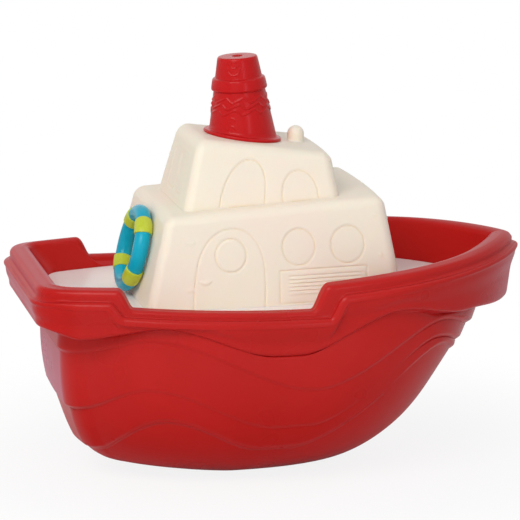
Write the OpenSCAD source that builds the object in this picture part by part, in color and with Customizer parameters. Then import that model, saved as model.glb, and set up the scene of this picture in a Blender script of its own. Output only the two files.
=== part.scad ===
// Toy bath boat: a moulded hull in two shells, a deck, a two-tier cabin, a squirting funnel
// and a life ring. Millimetres. +X is the bow, +Y is port, +Z is up.
// The origin is on the surface that the boat stands on, under the middle of its length.

/* [Hull] */
// Overall length, over the ridge round the rim
hull_length = 327; // [310:1:345]
// Overall beam, over the ridge round the rim
hull_beam = 205; // [195:1:215]
// Wall of the outer shell
shell_wall = 2.2; // [1.8:0.1:2.6]
// Radius of the two stern corners in plan
corner_r = 12; // [8:1:16]
// How much narrower each side is at the transom than amidships
stern_taper = 26; // [16:1:28]
// Height where the flared topsides would end
topside_z = 100; // [96:1:104]
// Half width of the flat that the boat stands on
flat_half = 16; // [15:0.5:18]
// Rise of the bottom at the heel of the transom
heel_rise = 9.5; // [7:0.5:11]

/* [Rim] */
// Height of the rim at the stern
stern_rim_z = 135; // [131:0.5:138]
// Height of the rim at its lowest, amidships
waist_z = 119.4; // [118:0.1:120]
// Height of the rim where the bow part starts
bow_rim_z = 135.2; // [132:0.1:139]
// Height of the rim at the tip of the bow
tip_rim_z = 143.4; // [141:0.1:147]
// Forward end of the raised stern, from the middle of the length
stern_step_x = -113; // [-120:1:-108]
// After end of the raised bow, from the middle of the length
bow_step_x = 4; // [-6:1:8]
// Length of the sloping step in the rim
step_len = 9.5; // [7:0.5:11]
// How far the ridge's steps stand back from the crest's, away from the waist
step_back = 8; // [6:0.5:9]
// From the rim's crest out to the ridge, along the sides
rim_out = 10.5; // [9:0.5:12]
// Extra width of the rim across the transom
transom_out = 2.5; // [1:0.5:4]
// From the rim's crest down to the ridge, at the raised stern and bow
ridge_fall = 9.2; // [8:0.2:10]
// From the rim's crest down to the ridge, at the waist
ridge_waist_fall = 6.4; // [6:0.2:7.4]
// Thickness of the ridge where the two shells are joined
ridge_t = 2.2; // [1.8:0.2:3]
// How far the ridge stands out over the band below it
ridge_proud = 2.6; // [1.6:0.2:3]

/* [Waves] */
// How far each wave layer stands over the one below it
wave_step = 2; // [1:0.2:2.6]
// Height of the band's lower edge at its crest near the stern
band_edge_z = 110; // [108:0.5:110]
// Height of the band's lower edge at its trough amidships
band_dip_z = 91.5; // [88:0.5:94]

/* [Deck] */
// Height of the top of the deck
deck_z = 115.5; // [115:0.1:116.5]
// Thickness of the deck plate
deck_t = 2; // [1.6:0.1:2.2]
// Thickness of the seal under the deck's edge
seal_t = 0.8; // [0.5:0.1:1]
// Wall of the inner shell
liner_wall = 1.8; // [1.4:0.1:2]
// Width of the ledge that carries the deck
ledge_w = 7; // [5:0.5:9]

/* [Deckhouse] */
// Length of the deckhouse at its foot
house_len = 163.5; // [150:0.5:170]
// Width of the deckhouse at its foot
house_wide = 129; // [118:1:132]
// Forward end of its foot, from the middle of the boat's length
house_fore_x = 71.5; // [66:0.5:76]
// Height of its roof above the deck, at the middle of the boat's length
house_h = 61; // [56:1:64]
// Lean of its stern wall, from upright
house_stern_lean = 14.5; // [10:0.5:18]
// Lean of its fore wall, from upright
house_fore_lean = 10.3; // [6:0.1:14]
// Lean of its side walls, from upright
house_side_lean = 8; // [5:0.5:11]
// Slope of its roof, up towards the bow
house_slope = 3.3; // [0:0.1:4.5]
// How far its fore wall bows out in the middle
house_bow = 2; // [0:0.5:4]
// Radius of its rounded edges
house_r = 6; // [4:0.5:8]
// Wall of both cabin mouldings
cabin_wall = 2; // [1.6:0.1:2.6]

/* [Wheelhouse] */
// Length of the wheelhouse at its foot
wheel_len = 99; // [92:0.5:106]
// Width of the wheelhouse at its foot
wheel_wide = 88; // [80:1:92]
// Forward end of its foot, from the middle of the boat's length
wheel_fore_x = 34.5; // [28:0.5:40]
// Height of its roof above its foot, at the middle of the boat's length
wheel_h = 32.8; // [30:0.2:36]
// Slope of its roof, down towards the bow
wheel_slope = 7.8; // [4:0.1:9]
// Lean of its stern wall, from upright
wheel_stern_lean = 14; // [9:0.5:17]
// Lean of its fore wall, from upright
wheel_fore_lean = 10; // [6:0.5:14]
// Lean of its side walls, from upright
wheel_side_lean = 12; // [8:0.5:15]
// How far its fore wall bows out in the middle
wheel_bow = 2; // [0:0.5:4]
// Height of the collar that locates a moulding on the one below
collar_h = 2; // [1.5:0.5:3]

/* [Engraving] */
// Depth of the engraved lines in the cabin walls
engrave_t = 0.6; // [0.3:0.1:0.8]
// Width of the engraved lines
engrave_w = 1.2; // [0.8:0.1:1.6]

/* [Funnel] */
// Centre of the funnel's foot, from the middle of the boat's length
funnel_x = -18.6; // [-24:0.2:-12]
// Height of the funnel above the roof
funnel_h = 51; // [48:0.2:58]
// Lean of the funnel towards the stern
funnel_lean = 3.4; // [0:0.1:6]
// Radius of the funnel at its foot
funnel_foot_r = 21.5; // [19:0.5:22.5]
// Radius of the funnel at its top
funnel_top_r = 12.5; // [11:0.5:14]
// Radius of the flange on the roof
flange_r = 24.6; // [23.5:0.1:26]
// Thickness of the flange
flange_t = 2.2; // [1.6:0.2:3]
// Radius of the hole in the funnel's top
squirt_r = 3; // [2:0.5:4]
// Radius of the plug that holds the funnel in the roof
plug_r = 14; // [12:0.5:16]
// Length of the plug below the top of the roof
plug_len = 9; // [6:1:12]

/* [Lamp] */
// Centre of the lamp, from the middle of the boat's length
lamp_x = 16; // [12:0.5:20]
// Radius of the lamp
lamp_r = 5.3; // [4.5:0.1:6]
// Height of the lamp's top above the roof
lamp_h = 10; // [9:0.5:14]
// Radius of the lamp's stem
lamp_stem_r = 2.5; // [2:0.1:3]

/* [Life ring] */
// Diameter of the ring along the middle of its tube
ring_d = 45.5; // [42:0.5:48]
// Diameter of the ring's tube
ring_tube = 10; // [9:0.2:12]
// Height of the ring's centre above the deck
ring_up = 28.5; // [28:0.5:31]
// Distance of the ring's centre from the middle of the stern wall
ring_side = -8.5; // [-10:0.5:4]
// Angle of the lower bands from the bottom of the ring
band_turn = 53; // [45:1:60]
// Length of each band, as an angle round the ring
band_angle = 24; // [18:1:30]
// How far each band stands out from the tube
band_proud = 0.8; // [0.5:0.1:1.2]
// Radius of the peg that the ring hangs on
peg_r = 3; // [2.5:0.25:4]

/* [Ballast] */
// Length of the steel bar
ballast_len = 49; // [42:1:49]
// Width of the steel bar
ballast_wide = 22; // [14:1:22]
// Thickness of the steel bar
ballast_t = 12; // [9:0.5:12.5]
// Middle of the steel bar, from the middle of the boat's length
ballast_x = -12; // [-12.5:0.5:-11.5]
// Wall of the cover over the bar
cover_wall = 2; // [1.5:0.1:2.5]

/* [Screws] */
// Radius of the screws' shanks
screw_r = 1.5; // [1.25:0.05:1.75]
// Radius of the screws' heads
screw_head_r = 3; // [2.7:0.1:3.5]
// Height of the screws' heads
screw_head_h = 1.8; // [1.4:0.1:2.4]
// Length of the deck screws' shanks
deck_screw_len = 14; // [10:1:20]
// Length of the cover screws' shanks
cover_screw_len = 7.5; // [6.5:0.5:8]
// Radius of the bosses that the screws bite in
boss_r = 4; // [3.5:0.1:4.4]
// Place of the deck's after screw, from the middle of the boat's length
deck_screw_aft_x = -84; // [-88:1:-80]
// Place of the deck's fore screw, from the middle of the boat's length
deck_screw_fore_x = 30.5; // [30:0.5:32]

/* [Fits] */
// Gap between pieces that lift apart
lift_gap = 0.3; // [0.2:0.05:0.4]
// Gap round a screw or plug that stays put
slip_gap = 0.1; // [0.05:0.05:0.2]
// Gap between the flat faces of pieces that rest on each other
seat_gap = 0.02; // [0.01:0.01:0.05]

/* [Hidden] */
$fn = 48;

// ---- plan of the rim's crest: stations from the middle of the transom to the bow ----
half_crest = hull_beam / 2 - rim_out;
stern_x = -(hull_length / 2 - rim_out - transom_out);
bow_x = hull_length / 2 - rim_out;
bow_fullness = 2.82;
bow_power = 0.85;
side_x = stern_x + corner_r;
bow_part_x = bow_step_x + step_len + step_back;

function ease(t) = let(k = min(1, max(0, t))) k * k * (3 - 2 * k);
function mix(a, b, t) = a + (b - a) * t;
function half_beam(x) = x < 0
    ? half_crest - stern_taper * pow(x / stern_x, 2)
    : half_crest * pow(1 - pow(min(x / bow_x, 1), bow_fullness), bow_power);
function corner_cut(x) = let(d = max(0, side_x - x)) corner_r - sqrt(corner_r * corner_r - d * d);
function crest_y(x) = half_beam(x) - corner_cut(x);

// Each station is [x, y, share of the way round from the stern's centre to the bow's tip].
corner_share = 0.1;
side_share = 0.16;
function side_turn(x) = asin(min(1, (x - side_x) / (bow_x - side_x))) / 90;
function side_station(x) = [x, crest_y(x), mix(side_share, 1, side_turn(x))];
function spread(a, b, n) = [for (i = [0 : n - 1]) mix(a, b, i / n)];
transom_steps = 4;
corner_steps = 4;
bow_steps = 14;
side_xs = concat(
    spread(side_x, stern_step_x - step_back, 2),
    spread(stern_step_x - step_back, stern_step_x + step_len, 6),
    spread(stern_step_x + step_len, bow_step_x, 7),
    spread(bow_step_x, bow_part_x, 6),
    [for (i = [0 : bow_steps - 1]) mix(bow_part_x, bow_x, sin(90 * i / bow_steps))]
);
half_stations = concat(
    [for (i = [0 : transom_steps - 1])
        [stern_x, crest_y(stern_x) * i / transom_steps, corner_share * i / transom_steps]],
    [for (i = [0 : corner_steps - 1])
        let(x = side_x - corner_r * cos(90 * i / corner_steps))
        [x, crest_y(x), mix(corner_share, side_share, i / corner_steps)]],
    [for (x = side_xs) side_station(x)],
    [[bow_x, 0, 1]]
);
half_n = len(half_stations) - 1;
loop_n = 2 * half_n;
// The whole loop: port side forward, then the starboard side back.
function station(i) = let(k = i % loop_n) k <= half_n ? half_stations[k] : half_stations[loop_n - k];
function side(i) = let(k = i % loop_n) k <= half_n ? 1 : -1;
function mirrored(s, sgn) = [s.x, sgn * s.y];
function outward(i) =
    let(k = i % loop_n)
    let(a = mirrored(station(k + loop_n - 1), side(k + loop_n - 1)))
    let(b = mirrored(station(k + 1), side(k + 1)))
    let(t = b - a)
    [-t.y, t.x] / norm(t);

// ---- heights along the rim ----
waist_mid_x = (stern_step_x + bow_step_x) / 2;
// Share of the step up from the waist, 1 on the raised stern and bow.
function raised(x, back) = x < waist_mid_x
    ? 1 - ease((x + back - stern_step_x) / step_len)
    : ease((x - back - bow_step_x) / step_len);
function rim_z(x, back = 0) =
    let(waist = waist_z + 3.2 * pow(min(x, 0) / 100, 2))
    let(rise = 1 - pow(1 - min(1, max(0, (x - bow_step_x - 8) / (bow_x - bow_step_x - 8))), 1.35))
    mix(waist, x < waist_mid_x ? stern_rim_z : mix(bow_rim_z, tip_rim_z, rise), raised(x, back));
function transom_part(x) = ease((side_x - x) / corner_r);
function ridge_n(x) = rim_out + transom_out * transom_part(x);
function ridge_z(x) =
    rim_z(x, step_back) - mix(ridge_waist_fall, ridge_fall, raised(x, step_back)) - 1.2 * transom_part(x);

// ---- wave lines: eased between crests and troughs, each [x, z] ----
function line_z(pts, x, i = 0) =
    x >= pts[len(pts) - 1].x ? pts[len(pts) - 1].y
    : x < pts[i + 1].x ? mix(pts[i].y, pts[i + 1].y, ease((x - pts[i].x) / (pts[i + 1].x - pts[i].x)))
    : line_z(pts, x, i + 1);
wave_lines = [
    [[stern_x, band_edge_z - 1.5], [-135, band_edge_z - 7], [-86, band_edge_z], [-18, band_dip_z],
        [-4, band_dip_z], [62, 115], [110, 107], [bow_x, 101]],
    [[stern_x, 90], [-98, 102], [11, 69], [104, 103.5], [bow_x, 88]],
    [[stern_x, 52], [-99, 70], [-10, 43.5], [16, 43.8], [100, 93], [bow_x, 77.5]],
    [[stern_x, 22], [-88, 50], [-12, 28], [14, 28], [106, 87], [bow_x, 70]]
];
function wave_z(k, x) = line_z(wave_lines[k], x);
// The lower waves fade out forward of amidships and come back as scallops at the stem.
function wave_depth(k, x) =
    k <= 1 ? wave_step * (1 + 0.4 * ease((x - 90) / 50))
    : wave_step * (1 - ease((x - 15) / 45) + ease((x - 62) / 35));

// ---- the hull under the band: each station's section runs from keel point to topside point ----
function topside(s) = [s.x * (s.x > 0 ? 0.901 : 0.951), s.y * side_fullness(s.x)];
function side_fullness(x) = 1.06 - 0.36 * pow(max(0, (-x - 60) / (-stern_x - 60)), 3);
// ---- heights of the bottom on the centreline ----
keel_mid_x = -36.5;
keel_reach = 71.5;
flat_aft_x = -40;
flat_fore_x = 15;
forefoot_rise = 6;
function keel_z(x) =
    heel_rise * pow(max(0, (flat_aft_x - x) / (flat_aft_x - keel_mid_x + keel_reach)), 1.3)
    + forefoot_rise * pow(max(0, (x - flat_fore_x) / (keel_mid_x + keel_reach - flat_fore_x)), 2);
function keel_pt(s) =
    let(turn = 180 * pow(s[2], 0.85))
    let(x = keel_mid_x - keel_reach * cos(turn))
    [x, flat_half * sin(turn), keel_z(x)];
function bilge(s) = s[2] < 0.4 ? mix(2, 2.2, ease(s[2] / 0.4)) : mix(2.2, 1, ease((s[2] - 0.4) / 0.6));
// The stem is drawn in a little between the forefoot and the band.
function stem_tuck(s, u) =
    0.05 * ease((s[2] - 0.6) / 0.4) * pow(sin(180 * min(1, max(0, (u - 0.27) / 0.73))), 2);
function reach(s, z) =
    let(k = keel_pt(s), u = min(1, max(0, (z - k.z) / (topside_z - k.z))))
    pow(1 - pow(1 - u, bilge(s)), 1 / 1.8) - stem_tuck(s, u);
// A point on the bare form at height z, moved out by off along the plan normal.
function hull_pt(i, z, off = 0) =
    let(s = station(i), k = keel_pt(s), t = topside(s), h = reach(s, z), n = outward(i))
    let(x = mix(k.x, t.x, h) + off * n.x, y = mix(k.y, t.y, h))
    [x, side(i) * (y + off * abs(n.y) * min(1, y / 12)), max(z, k.z)];
function rim_pt(i, n_out, z) =
    let(s = station(i), n = outward(i))
    [s.x + n_out * n.x, side(i) * max(0, s.y + n_out * side(i) * n.y), z];
function band_slope(x) = mix(0.05, 0.13, ease((x - 100) / 50));
function band_n(x, z) = ridge_n(x) - ridge_proud - band_slope(x) * (ridge_z(x) - z);

// ---- skins ----
function ring_faces(a, b, n) = [for (i = [0 : n - 1]) each [
    [a * n + i, a * n + (i + 1) % n, b * n + (i + 1) % n],
    [a * n + i, b * n + (i + 1) % n, b * n + i]
]];
// A cap across a loop that is the same on both sides: rungs from port to starboard. The loop
// starts on the centreline, or with shift = 1 it starts at its first port point.
function rung_cap(row, n, flip, shift) =
    let(o = row * n)
    let(tris = [for (i = [0 : n / 2 - 1 - shift])
        let(a = i, b = i + 1, c = (n - b - shift) % n, d = (n - a - shift) % n)
        each [if (a != d) [o + a, o + b, o + d], if (b != c) [o + b, o + c, o + d]]])
    [for (t = tris) flip ? [t[2], t[1], t[0]] : t];
// Rows of n points, joined one to the next, closed by a cap at each end.
module capped_skin(rows, shift = 0) {
    n = len(rows[0]);
    m = len(rows);
    polyhedron(
        [for (r = rows) each r],
        concat([for (j = [0 : m - 2]) each ring_faces(j, j + 1, n)],
            rung_cap(0, n, true, shift), rung_cap(m - 1, n, false, shift)),
        convexity = 10);
}
// Rows of n points, joined one to the next and the last to the first.
module looped_skin(rows) {
    n = len(rows[0]);
    m = len(rows);
    polyhedron([for (r = rows) each r],
        [for (j = [0 : m - 1]) each ring_faces(j, (j + 1) % m, n)], convexity = 10);
}
function loop_row(f) = [for (i = [0 : loop_n - 1]) f(i)];

// ---- hull shell ----
function x_of(i) = station(i).x;
flange_w = 3.6;
band_rows = [
    function(i) rim_pt(i, ridge_n(x_of(i)) - flange_w, ridge_z(x_of(i)) + ridge_t / 2),
    function(i) rim_pt(i, ridge_n(x_of(i)), ridge_z(x_of(i)) + ridge_t / 2),
    function(i) rim_pt(i, ridge_n(x_of(i)), ridge_z(x_of(i)) - ridge_t / 2),
    function(i) rim_pt(i, ridge_n(x_of(i)) - ridge_proud, ridge_z(x_of(i)) - ridge_t / 2 - 1),
    function(i) let(z = wave_z(0, x_of(i)) + 1.2) rim_pt(i, band_n(x_of(i), z), z),
    function(i) let(z = wave_z(0, x_of(i))) rim_pt(i, band_n(x_of(i), z) - 1, z),
    function(i) hull_pt(i, wave_z(0, x_of(i)) - 0.4)
];
function layer_row(k, t) = function(i)
    let(top = wave_z(k, x_of(i)), low = wave_z(k + 1, x_of(i)) + 0.5)
    hull_pt(i, mix(top, low, t), wave_depth(k + 1, x_of(i)) * t);
function ledge_row(k) = function(i) hull_pt(i, wave_z(k, x_of(i)) - 0.5);
function bottom_row(t) = function(i)
    let(k = keel_pt(station(i)).z, top = wave_z(3, x_of(i)) - 0.5)
    hull_pt(i, mix(k, top, t * t));
function inner_row(z) = function(i)
    let(p = hull_pt(i, z, -shell_wall))
    [p.x, p.y, max(p.z, keel_pt(station(i)).z + shell_wall)];
inner_keel = function(i) let(p = keel_pt(station(i)))
    [0.98 * p.x, 0.98 * side(i) * p.y, p.z + shell_wall];
inner_band_rows = [
    function(i) let(z = wave_z(0, x_of(i)) + shell_wall) hull_pt(i, z, -shell_wall),
    function(i) let(z = wave_z(0, x_of(i)) + shell_wall)
        rim_pt(i, band_n(x_of(i), z) - shell_wall, z),
    function(i) let(z = ridge_z(x_of(i)) - ridge_t / 2 - 1.2)
        rim_pt(i, ridge_n(x_of(i)) - ridge_proud - shell_wall, z)
];
shell_rows = concat(
    [loop_row(function(i) let(p = keel_pt(station(i))) [p.x, side(i) * p.y, p.z])],
    [for (t = [0.3, 0.5, 0.7, 0.86, 1]) loop_row(bottom_row(t))],
    [for (k = [2, 1, 0]) each [
        loop_row(layer_row(k, 1)), loop_row(layer_row(k, 0.66)), loop_row(layer_row(k, 0.33)),
        if (k > 0) loop_row(ledge_row(k))
    ]],
    [for (j = [6 : -1 : 0]) loop_row(band_rows[j])],
    [for (j = [2 : -1 : 0]) loop_row(inner_band_rows[j])],
    [for (z = [84, 66, 46, 28, 16, 8]) loop_row(inner_row(z))],
    [loop_row(inner_keel)]
);

cover_lip_up = 8.4;
cover_lip_z = shell_wall + cover_lip_up;
cover_screw_xs = [
    ballast_x - ballast_len / 2 - cover_wall - boss_r - 0.6,
    ballast_x + ballast_len / 2 + cover_wall + boss_r + 0.6
];
deck_screw_xs = [deck_screw_aft_x, deck_screw_fore_x];

// A screw post: a boss rooted in the bottom, with a blind pilot hole down its middle.
module post(x, z_top, hole_depth) {
    z_low = keel_z(x) + shell_wall / 2;
    translate([x, 0, z_low]) difference() {
        cylinder(r = boss_r, h = z_top - z_low);
        translate([0, 0, z_top - z_low - hole_depth])
            cylinder(r = screw_r + slip_gap, h = hole_depth + 1);
    }
}
module hull_shell() {
    color("firebrick") {
        capped_skin(shell_rows);
        for (x = deck_screw_xs) post(x, deck_z - deck_t, deck_screw_len);
        for (x = cover_screw_xs) post(x, cover_lip_z, cover_screw_len - cover_wall + 0.5);
    }
}

// ---- hull liner: hollow rim, bulwark and the ledge that carries the deck ----
foot_x = 0.905;
foot_y = 0.93;
ledge_top = deck_z - deck_t - seal_t;
ledge_low = ledge_top - liner_wall + 0.2;
function foot_pt(i, n_out, z) =
    let(s = station(i), n = outward(i))
    let(x = foot_x * s.x + n_out * n.x, y = foot_y * s.y + n_out * abs(n.y) * min(1, s.y / 12))
    [x, side(i) * y, z];
function flange_z(x) = ridge_z(x) + ridge_t / 2;
function rim_row(n_out, drop) = function(i) rim_pt(i, n_out, rim_z(x_of(i)) - drop);
function bead_row(inset, share) = function(i)
    rim_pt(i, ridge_n(x_of(i)) - inset, mix(rim_z(x_of(i)), flange_z(x_of(i)), share));
function foot_row(n_out, z) = function(i) foot_pt(i, n_out, z);
// The coping's outer face, from the flange up: [in from the ridge, share of the crest's fall].
coping = [[3.2, 1], [0.4, 1], [1.1, 0.82], [3.4, 0.53], [5.2, 0.42], [6.2, 0.18]];
liner_rows = concat([for (p = coping) bead_row(p[0], p[1])], [
    rim_row(2.4, 0.1), rim_row(0, 0), rim_row(-2.6, 0.8), rim_row(-4, 2.4),
    foot_row(0, deck_z + 0.2), foot_row(0, ledge_top), foot_row(-ledge_w, ledge_top),
    foot_row(-ledge_w, ledge_low), foot_row(liner_wall, ledge_low),
    foot_row(liner_wall, ledge_top + 1),
    rim_row(-2.2, 4), rim_row(-0.8, 2.4), rim_row(2.2, 2.4), bead_row(5.6, 0.72)
]);
module hull_liner() {
    color("firebrick") looped_skin([for (r = liner_rows) loop_row(r)]);
}

// ---- drafted cabin mouldings ----
// A moulding is [stern x, fore x, half width, foot z, foot slope, roof z, roof slope,
// stern lean, fore lean, side lean, edge radius, fore bow], with each z taken at x = 0.
house_stern_x = house_fore_x - house_len;
house_roof_z = deck_z + house_h;
house = [house_stern_x, house_fore_x, house_wide / 2, deck_z + seat_gap, 0, house_roof_z, tan(house_slope),
    house_stern_lean, house_fore_lean, house_side_lean, house_r, house_bow];
wheel_stern_x = wheel_fore_x - wheel_len;
wheel_roof_z = house_roof_z + wheel_h;
wheel = [wheel_stern_x, wheel_fore_x, wheel_wide / 2, house_roof_z + seat_gap, tan(house_slope),
    wheel_roof_z, -tan(wheel_slope), wheel_stern_lean, wheel_fore_lean, wheel_side_lean, house_r,
    wheel_bow];
function foot_z(b, x) = b[3] + b[4] * x;
function roof_z(b, x) = b[5] + b[6] * x;
function wall_h(b, x) = roof_z(b, x) - foot_z(b, x);
edge_steps = 4;
end_steps = 3;
function bow_out(b, y, half) = b[11] * (1 - pow(min(1, y / half), 2));
// One level of a moulding, at share t of its height, moved in by inset.
function box_row(b, t, inset) =
    let(h_aft = t * wall_h(b, b[0]), h_fore = t * wall_h(b, b[1]))
    let(aft = b[0] + h_aft * tan(b[7]) + inset, fore = b[1] - h_fore * tan(b[8]) - inset)
    let(half_aft = b[2] - h_aft * tan(b[9]) - inset, half_fore = b[2] - h_fore * tan(b[9]) - inset)
    let(r = max(1, b[10] - inset))
    let(port = concat(
        [for (k = [0 : edge_steps]) let(a = 90 * k / edge_steps)
            [aft + r - r * cos(a), half_aft - r + r * sin(a)]],
        [for (k = [0 : edge_steps]) let(a = 90 * k / edge_steps, y = half_fore - r + r * cos(a))
            [fore - r + r * sin(a) + bow_out(b, y, half_fore), y]],
        [for (k = [1 : end_steps]) let(y = (half_fore - r) * (1 - k / (end_steps + 0.5)))
            [fore + bow_out(b, y, half_fore), y]]))
    let(m = len(port))
    [for (k = [0 : 2 * m - 1])
        let(p = k < m ? port[k] : [port[2 * m - 1 - k].x, -port[2 * m - 1 - k].y])
        [p.x, p.y, mix(foot_z(b, p.x), roof_z(b, p.x), t)]];
// The rows of one skin from foot to roof, with a rounded roof edge.
function skin_rows(b, inset, drop) =
    let(h = wall_h(b, 0), r = max(1, b[10] - inset))
    concat([box_row(b, 0, inset)],
        [for (k = [0 : edge_steps]) let(a = 90 * k / edge_steps)
            box_row(b, 1 - (drop + r - r * sin(a)) / h, inset + r - r * cos(a))]);
function reversed(v) = [for (k = [len(v) - 1 : -1 : 0]) v[k]];
module moulding(b) {
    capped_skin(concat(reversed(skin_rows(b, cabin_wall, cabin_wall)), skin_rows(b, 0, 0)), shift = 1);
}
// A low collar that stands inside the foot of moulding b and locates it.
collar_wall = 2;
module collar(b) {
    h = wall_h(b, 0);
    out = cabin_wall + lift_gap;
    looped_skin([
        box_row(b, -0.5 / h, out), box_row(b, collar_h / h, out),
        box_row(b, collar_h / h, out + collar_wall), box_row(b, -0.5 / h, out + collar_wall)
    ]);
}

// ---- engraved lines, cut in frames that lie on a wall: x along it, y up it, z out of it ----
module on_side_walls(b, x) {
    for (m = [0, 1]) mirror([0, m, 0]) translate([x, -b[2], foot_z(b, x)])
        rotate([90 - b[9], 0, 0]) rotate([0, -atan(b[4] * sin(b[9])), 0]) children();
}
module on_stern_end(b) {
    translate([b[0], 0, foot_z(b, b[0])]) rotate([0, b[7], 0]) rotate([90, 0, -90]) children();
}
module on_fore_end(b, y) {
    translate([b[1] + bow_out(b, abs(y), b[2]), y, foot_z(b, b[1])])
        rotate([0, 0, atan(2 * b[11] * y / pow(b[2], 2))]) rotate([0, -b[8], 0]) rotate([90, 0, 90])
        children();
}
module cut_line() {
    translate([0, 0, -engrave_t]) linear_extrude(engrave_t + 2) children();
}
module ring_line(r) {
    cut_line() difference() {
        circle(r = r + engrave_w / 2);
        circle(r = r - engrave_w / 2);
    }
}
// An arch from y = 0 up to h, half as wide as it is at its foot, whose top leans along x.
arch_steps = 10;
function arch_pts(half, h, lean, power, grow) =
    let(right = [for (k = [0 : arch_steps]) let(u = 1 - pow(1 - k / arch_steps, 2))
        [u * lean + (half + grow) * sqrt(1 - pow(u, power)), mix(-grow, h + grow, u)]])
    let(left = [for (k = [arch_steps - 1 : -1 : 0]) let(u = 1 - pow(1 - k / arch_steps, 2))
        [u * lean - (half + grow) * sqrt(1 - pow(u, power)), mix(-grow, h + grow, u)]])
    concat(right, left);
module arch_line(half, h, lean, power) {
    cut_line() difference() {
        polygon(arch_pts(half, h, lean, power, engrave_w / 2));
        polygon(arch_pts(half, h, lean, power, -engrave_w / 2));
    }
}
module box_line(w, h) {
    cut_line() difference() {
        square([w + engrave_w, h + engrave_w], center = true);
        square([w - engrave_w, h - engrave_w], center = true);
    }
}
door_x = -40.5;
door_half = 22.5;
door_h = 48;
door_lean = 3;
door_power = 3.6;
door_port_r = 10;
door_port_up = 32.5;
handle_up = 17.6;
handle_w = 8;
port_r = 11;
port_xs = [4.4, 35.6];
port_up = 36;
louvre_w = 55;
louvre_h = 17.5;
louvre_up = 13;
louvre_x = 20;
slat_n = 6;
slat_pitch = 2.5;
slat_w = 46;
module deckhouse_lines() {
    on_side_walls(house, door_x) {
        translate([0, 1, 0]) arch_line(door_half, door_h, door_lean, door_power);
        translate([2, door_port_up, 0]) ring_line(door_port_r);
        translate([-14.5, handle_up, 0]) cut_line() square([handle_w, engrave_w], center = true);
    }
    on_side_walls(house, louvre_x) {
        for (x = port_xs) translate([x - louvre_x, port_up, 0]) ring_line(port_r);
        translate([0, louvre_up, 0]) {
            box_line(louvre_w, louvre_h);
            for (k = [0 : slat_n - 1]) translate([0, slat_pitch * (k - (slat_n - 1) / 2), 0])
                cut_line() square([slat_w, engrave_w], center = true);
        }
    }
}
pane_w = 18;
pane_h = 24;
pane_y = pane_w / 2 + 2;
stern_pane_up = 18;
fore_pane_up = 12.5;
// Each arch is [x, half width, height, lean of its top].
aft_arch = [-28.2, 14.1, 27, 5.6];
fore_arch = [9.7, 11.5, 17.5, -1.5];
wheel_arch_power = 2.3;
module wheelhouse_lines() {
    on_side_walls(wheel, aft_arch[0]) translate([0, 1, 0])
        arch_line(aft_arch[1], aft_arch[2], aft_arch[3], wheel_arch_power);
    on_side_walls(wheel, fore_arch[0]) translate([0, 1, 0])
        arch_line(fore_arch[1], fore_arch[2], fore_arch[3], wheel_arch_power);
    for (y = [-pane_y, pane_y]) {
        on_stern_end(wheel) translate([y, stern_pane_up, 0]) box_line(pane_w, pane_h);
        on_fore_end(wheel, y) translate([0, fore_pane_up, 0]) box_line(pane_w, 0.6 * pane_h);
    }
}

// ---- deck and its seal ----
function foot_outline(n_out) = [for (i = [0 : loop_n - 1]) let(p = foot_pt(i, n_out, 0)) [p.x, p.y]];
module deck_seal() {
    color("gainsboro") translate([0, 0, ledge_top]) linear_extrude(seal_t) difference() {
        polygon(foot_outline(-1));
        polygon(foot_outline(1 - ledge_w));
    }
}
module deck() {
    color("antiquewhite") {
        difference() {
            translate([0, 0, deck_z - deck_t]) linear_extrude(deck_t)
                polygon(foot_outline(-lift_gap));
            for (x = deck_screw_xs) translate([x, 0, deck_z - deck_t - 1])
                cylinder(r = screw_r + slip_gap, h = deck_t + 2);
        }
        collar(house);
    }
}

// ---- screws ----
module screw(len) {
    translate([0, 0, -len]) cylinder(r = screw_r, h = len);
    cylinder(r = screw_head_r, h = screw_head_h);
}
module deck_screws() {
    color("silver") for (x = deck_screw_xs) translate([x, 0, deck_z]) screw(deck_screw_len);
}
module cover_screws() {
    color("silver") for (x = cover_screw_xs)
        translate([x, 0, cover_lip_z + cover_wall]) screw(cover_screw_len);
}

// ---- ballast ----
module keel_ballast() {
    color("gray") translate([ballast_x - ballast_len / 2, -ballast_wide / 2, shell_wall + seat_gap])
        cube([ballast_len, ballast_wide, ballast_t]);
}
module ballast_cover() {
    bar_gap = 0.2;
    in_l = ballast_len + 2 * bar_gap;
    in_w = ballast_wide + 2 * bar_gap;
    cover_top = shell_wall + ballast_t + bar_gap + cover_wall;
    lip_l = cover_screw_xs[1] - cover_screw_xs[0] + 2 * boss_r;
    color("dimgray") difference() {
        union() {
            translate([ballast_x - in_l / 2 - cover_wall, -in_w / 2 - cover_wall, cover_lip_z])
                cube([in_l + 2 * cover_wall, in_w + 2 * cover_wall, cover_top - cover_lip_z]);
            translate([ballast_x - lip_l / 2, -boss_r, cover_lip_z]) cube([lip_l, 2 * boss_r, cover_wall]);
        }
        translate([ballast_x - in_l / 2, -in_w / 2, cover_lip_z - 1])
            cube([in_l, in_w, cover_top - cover_wall - cover_lip_z + 1]);
        for (x = cover_screw_xs) translate([x, 0, cover_lip_z - 1])
            cylinder(r = screw_r + slip_gap, h = cover_wall + 2);
    }
}

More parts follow.
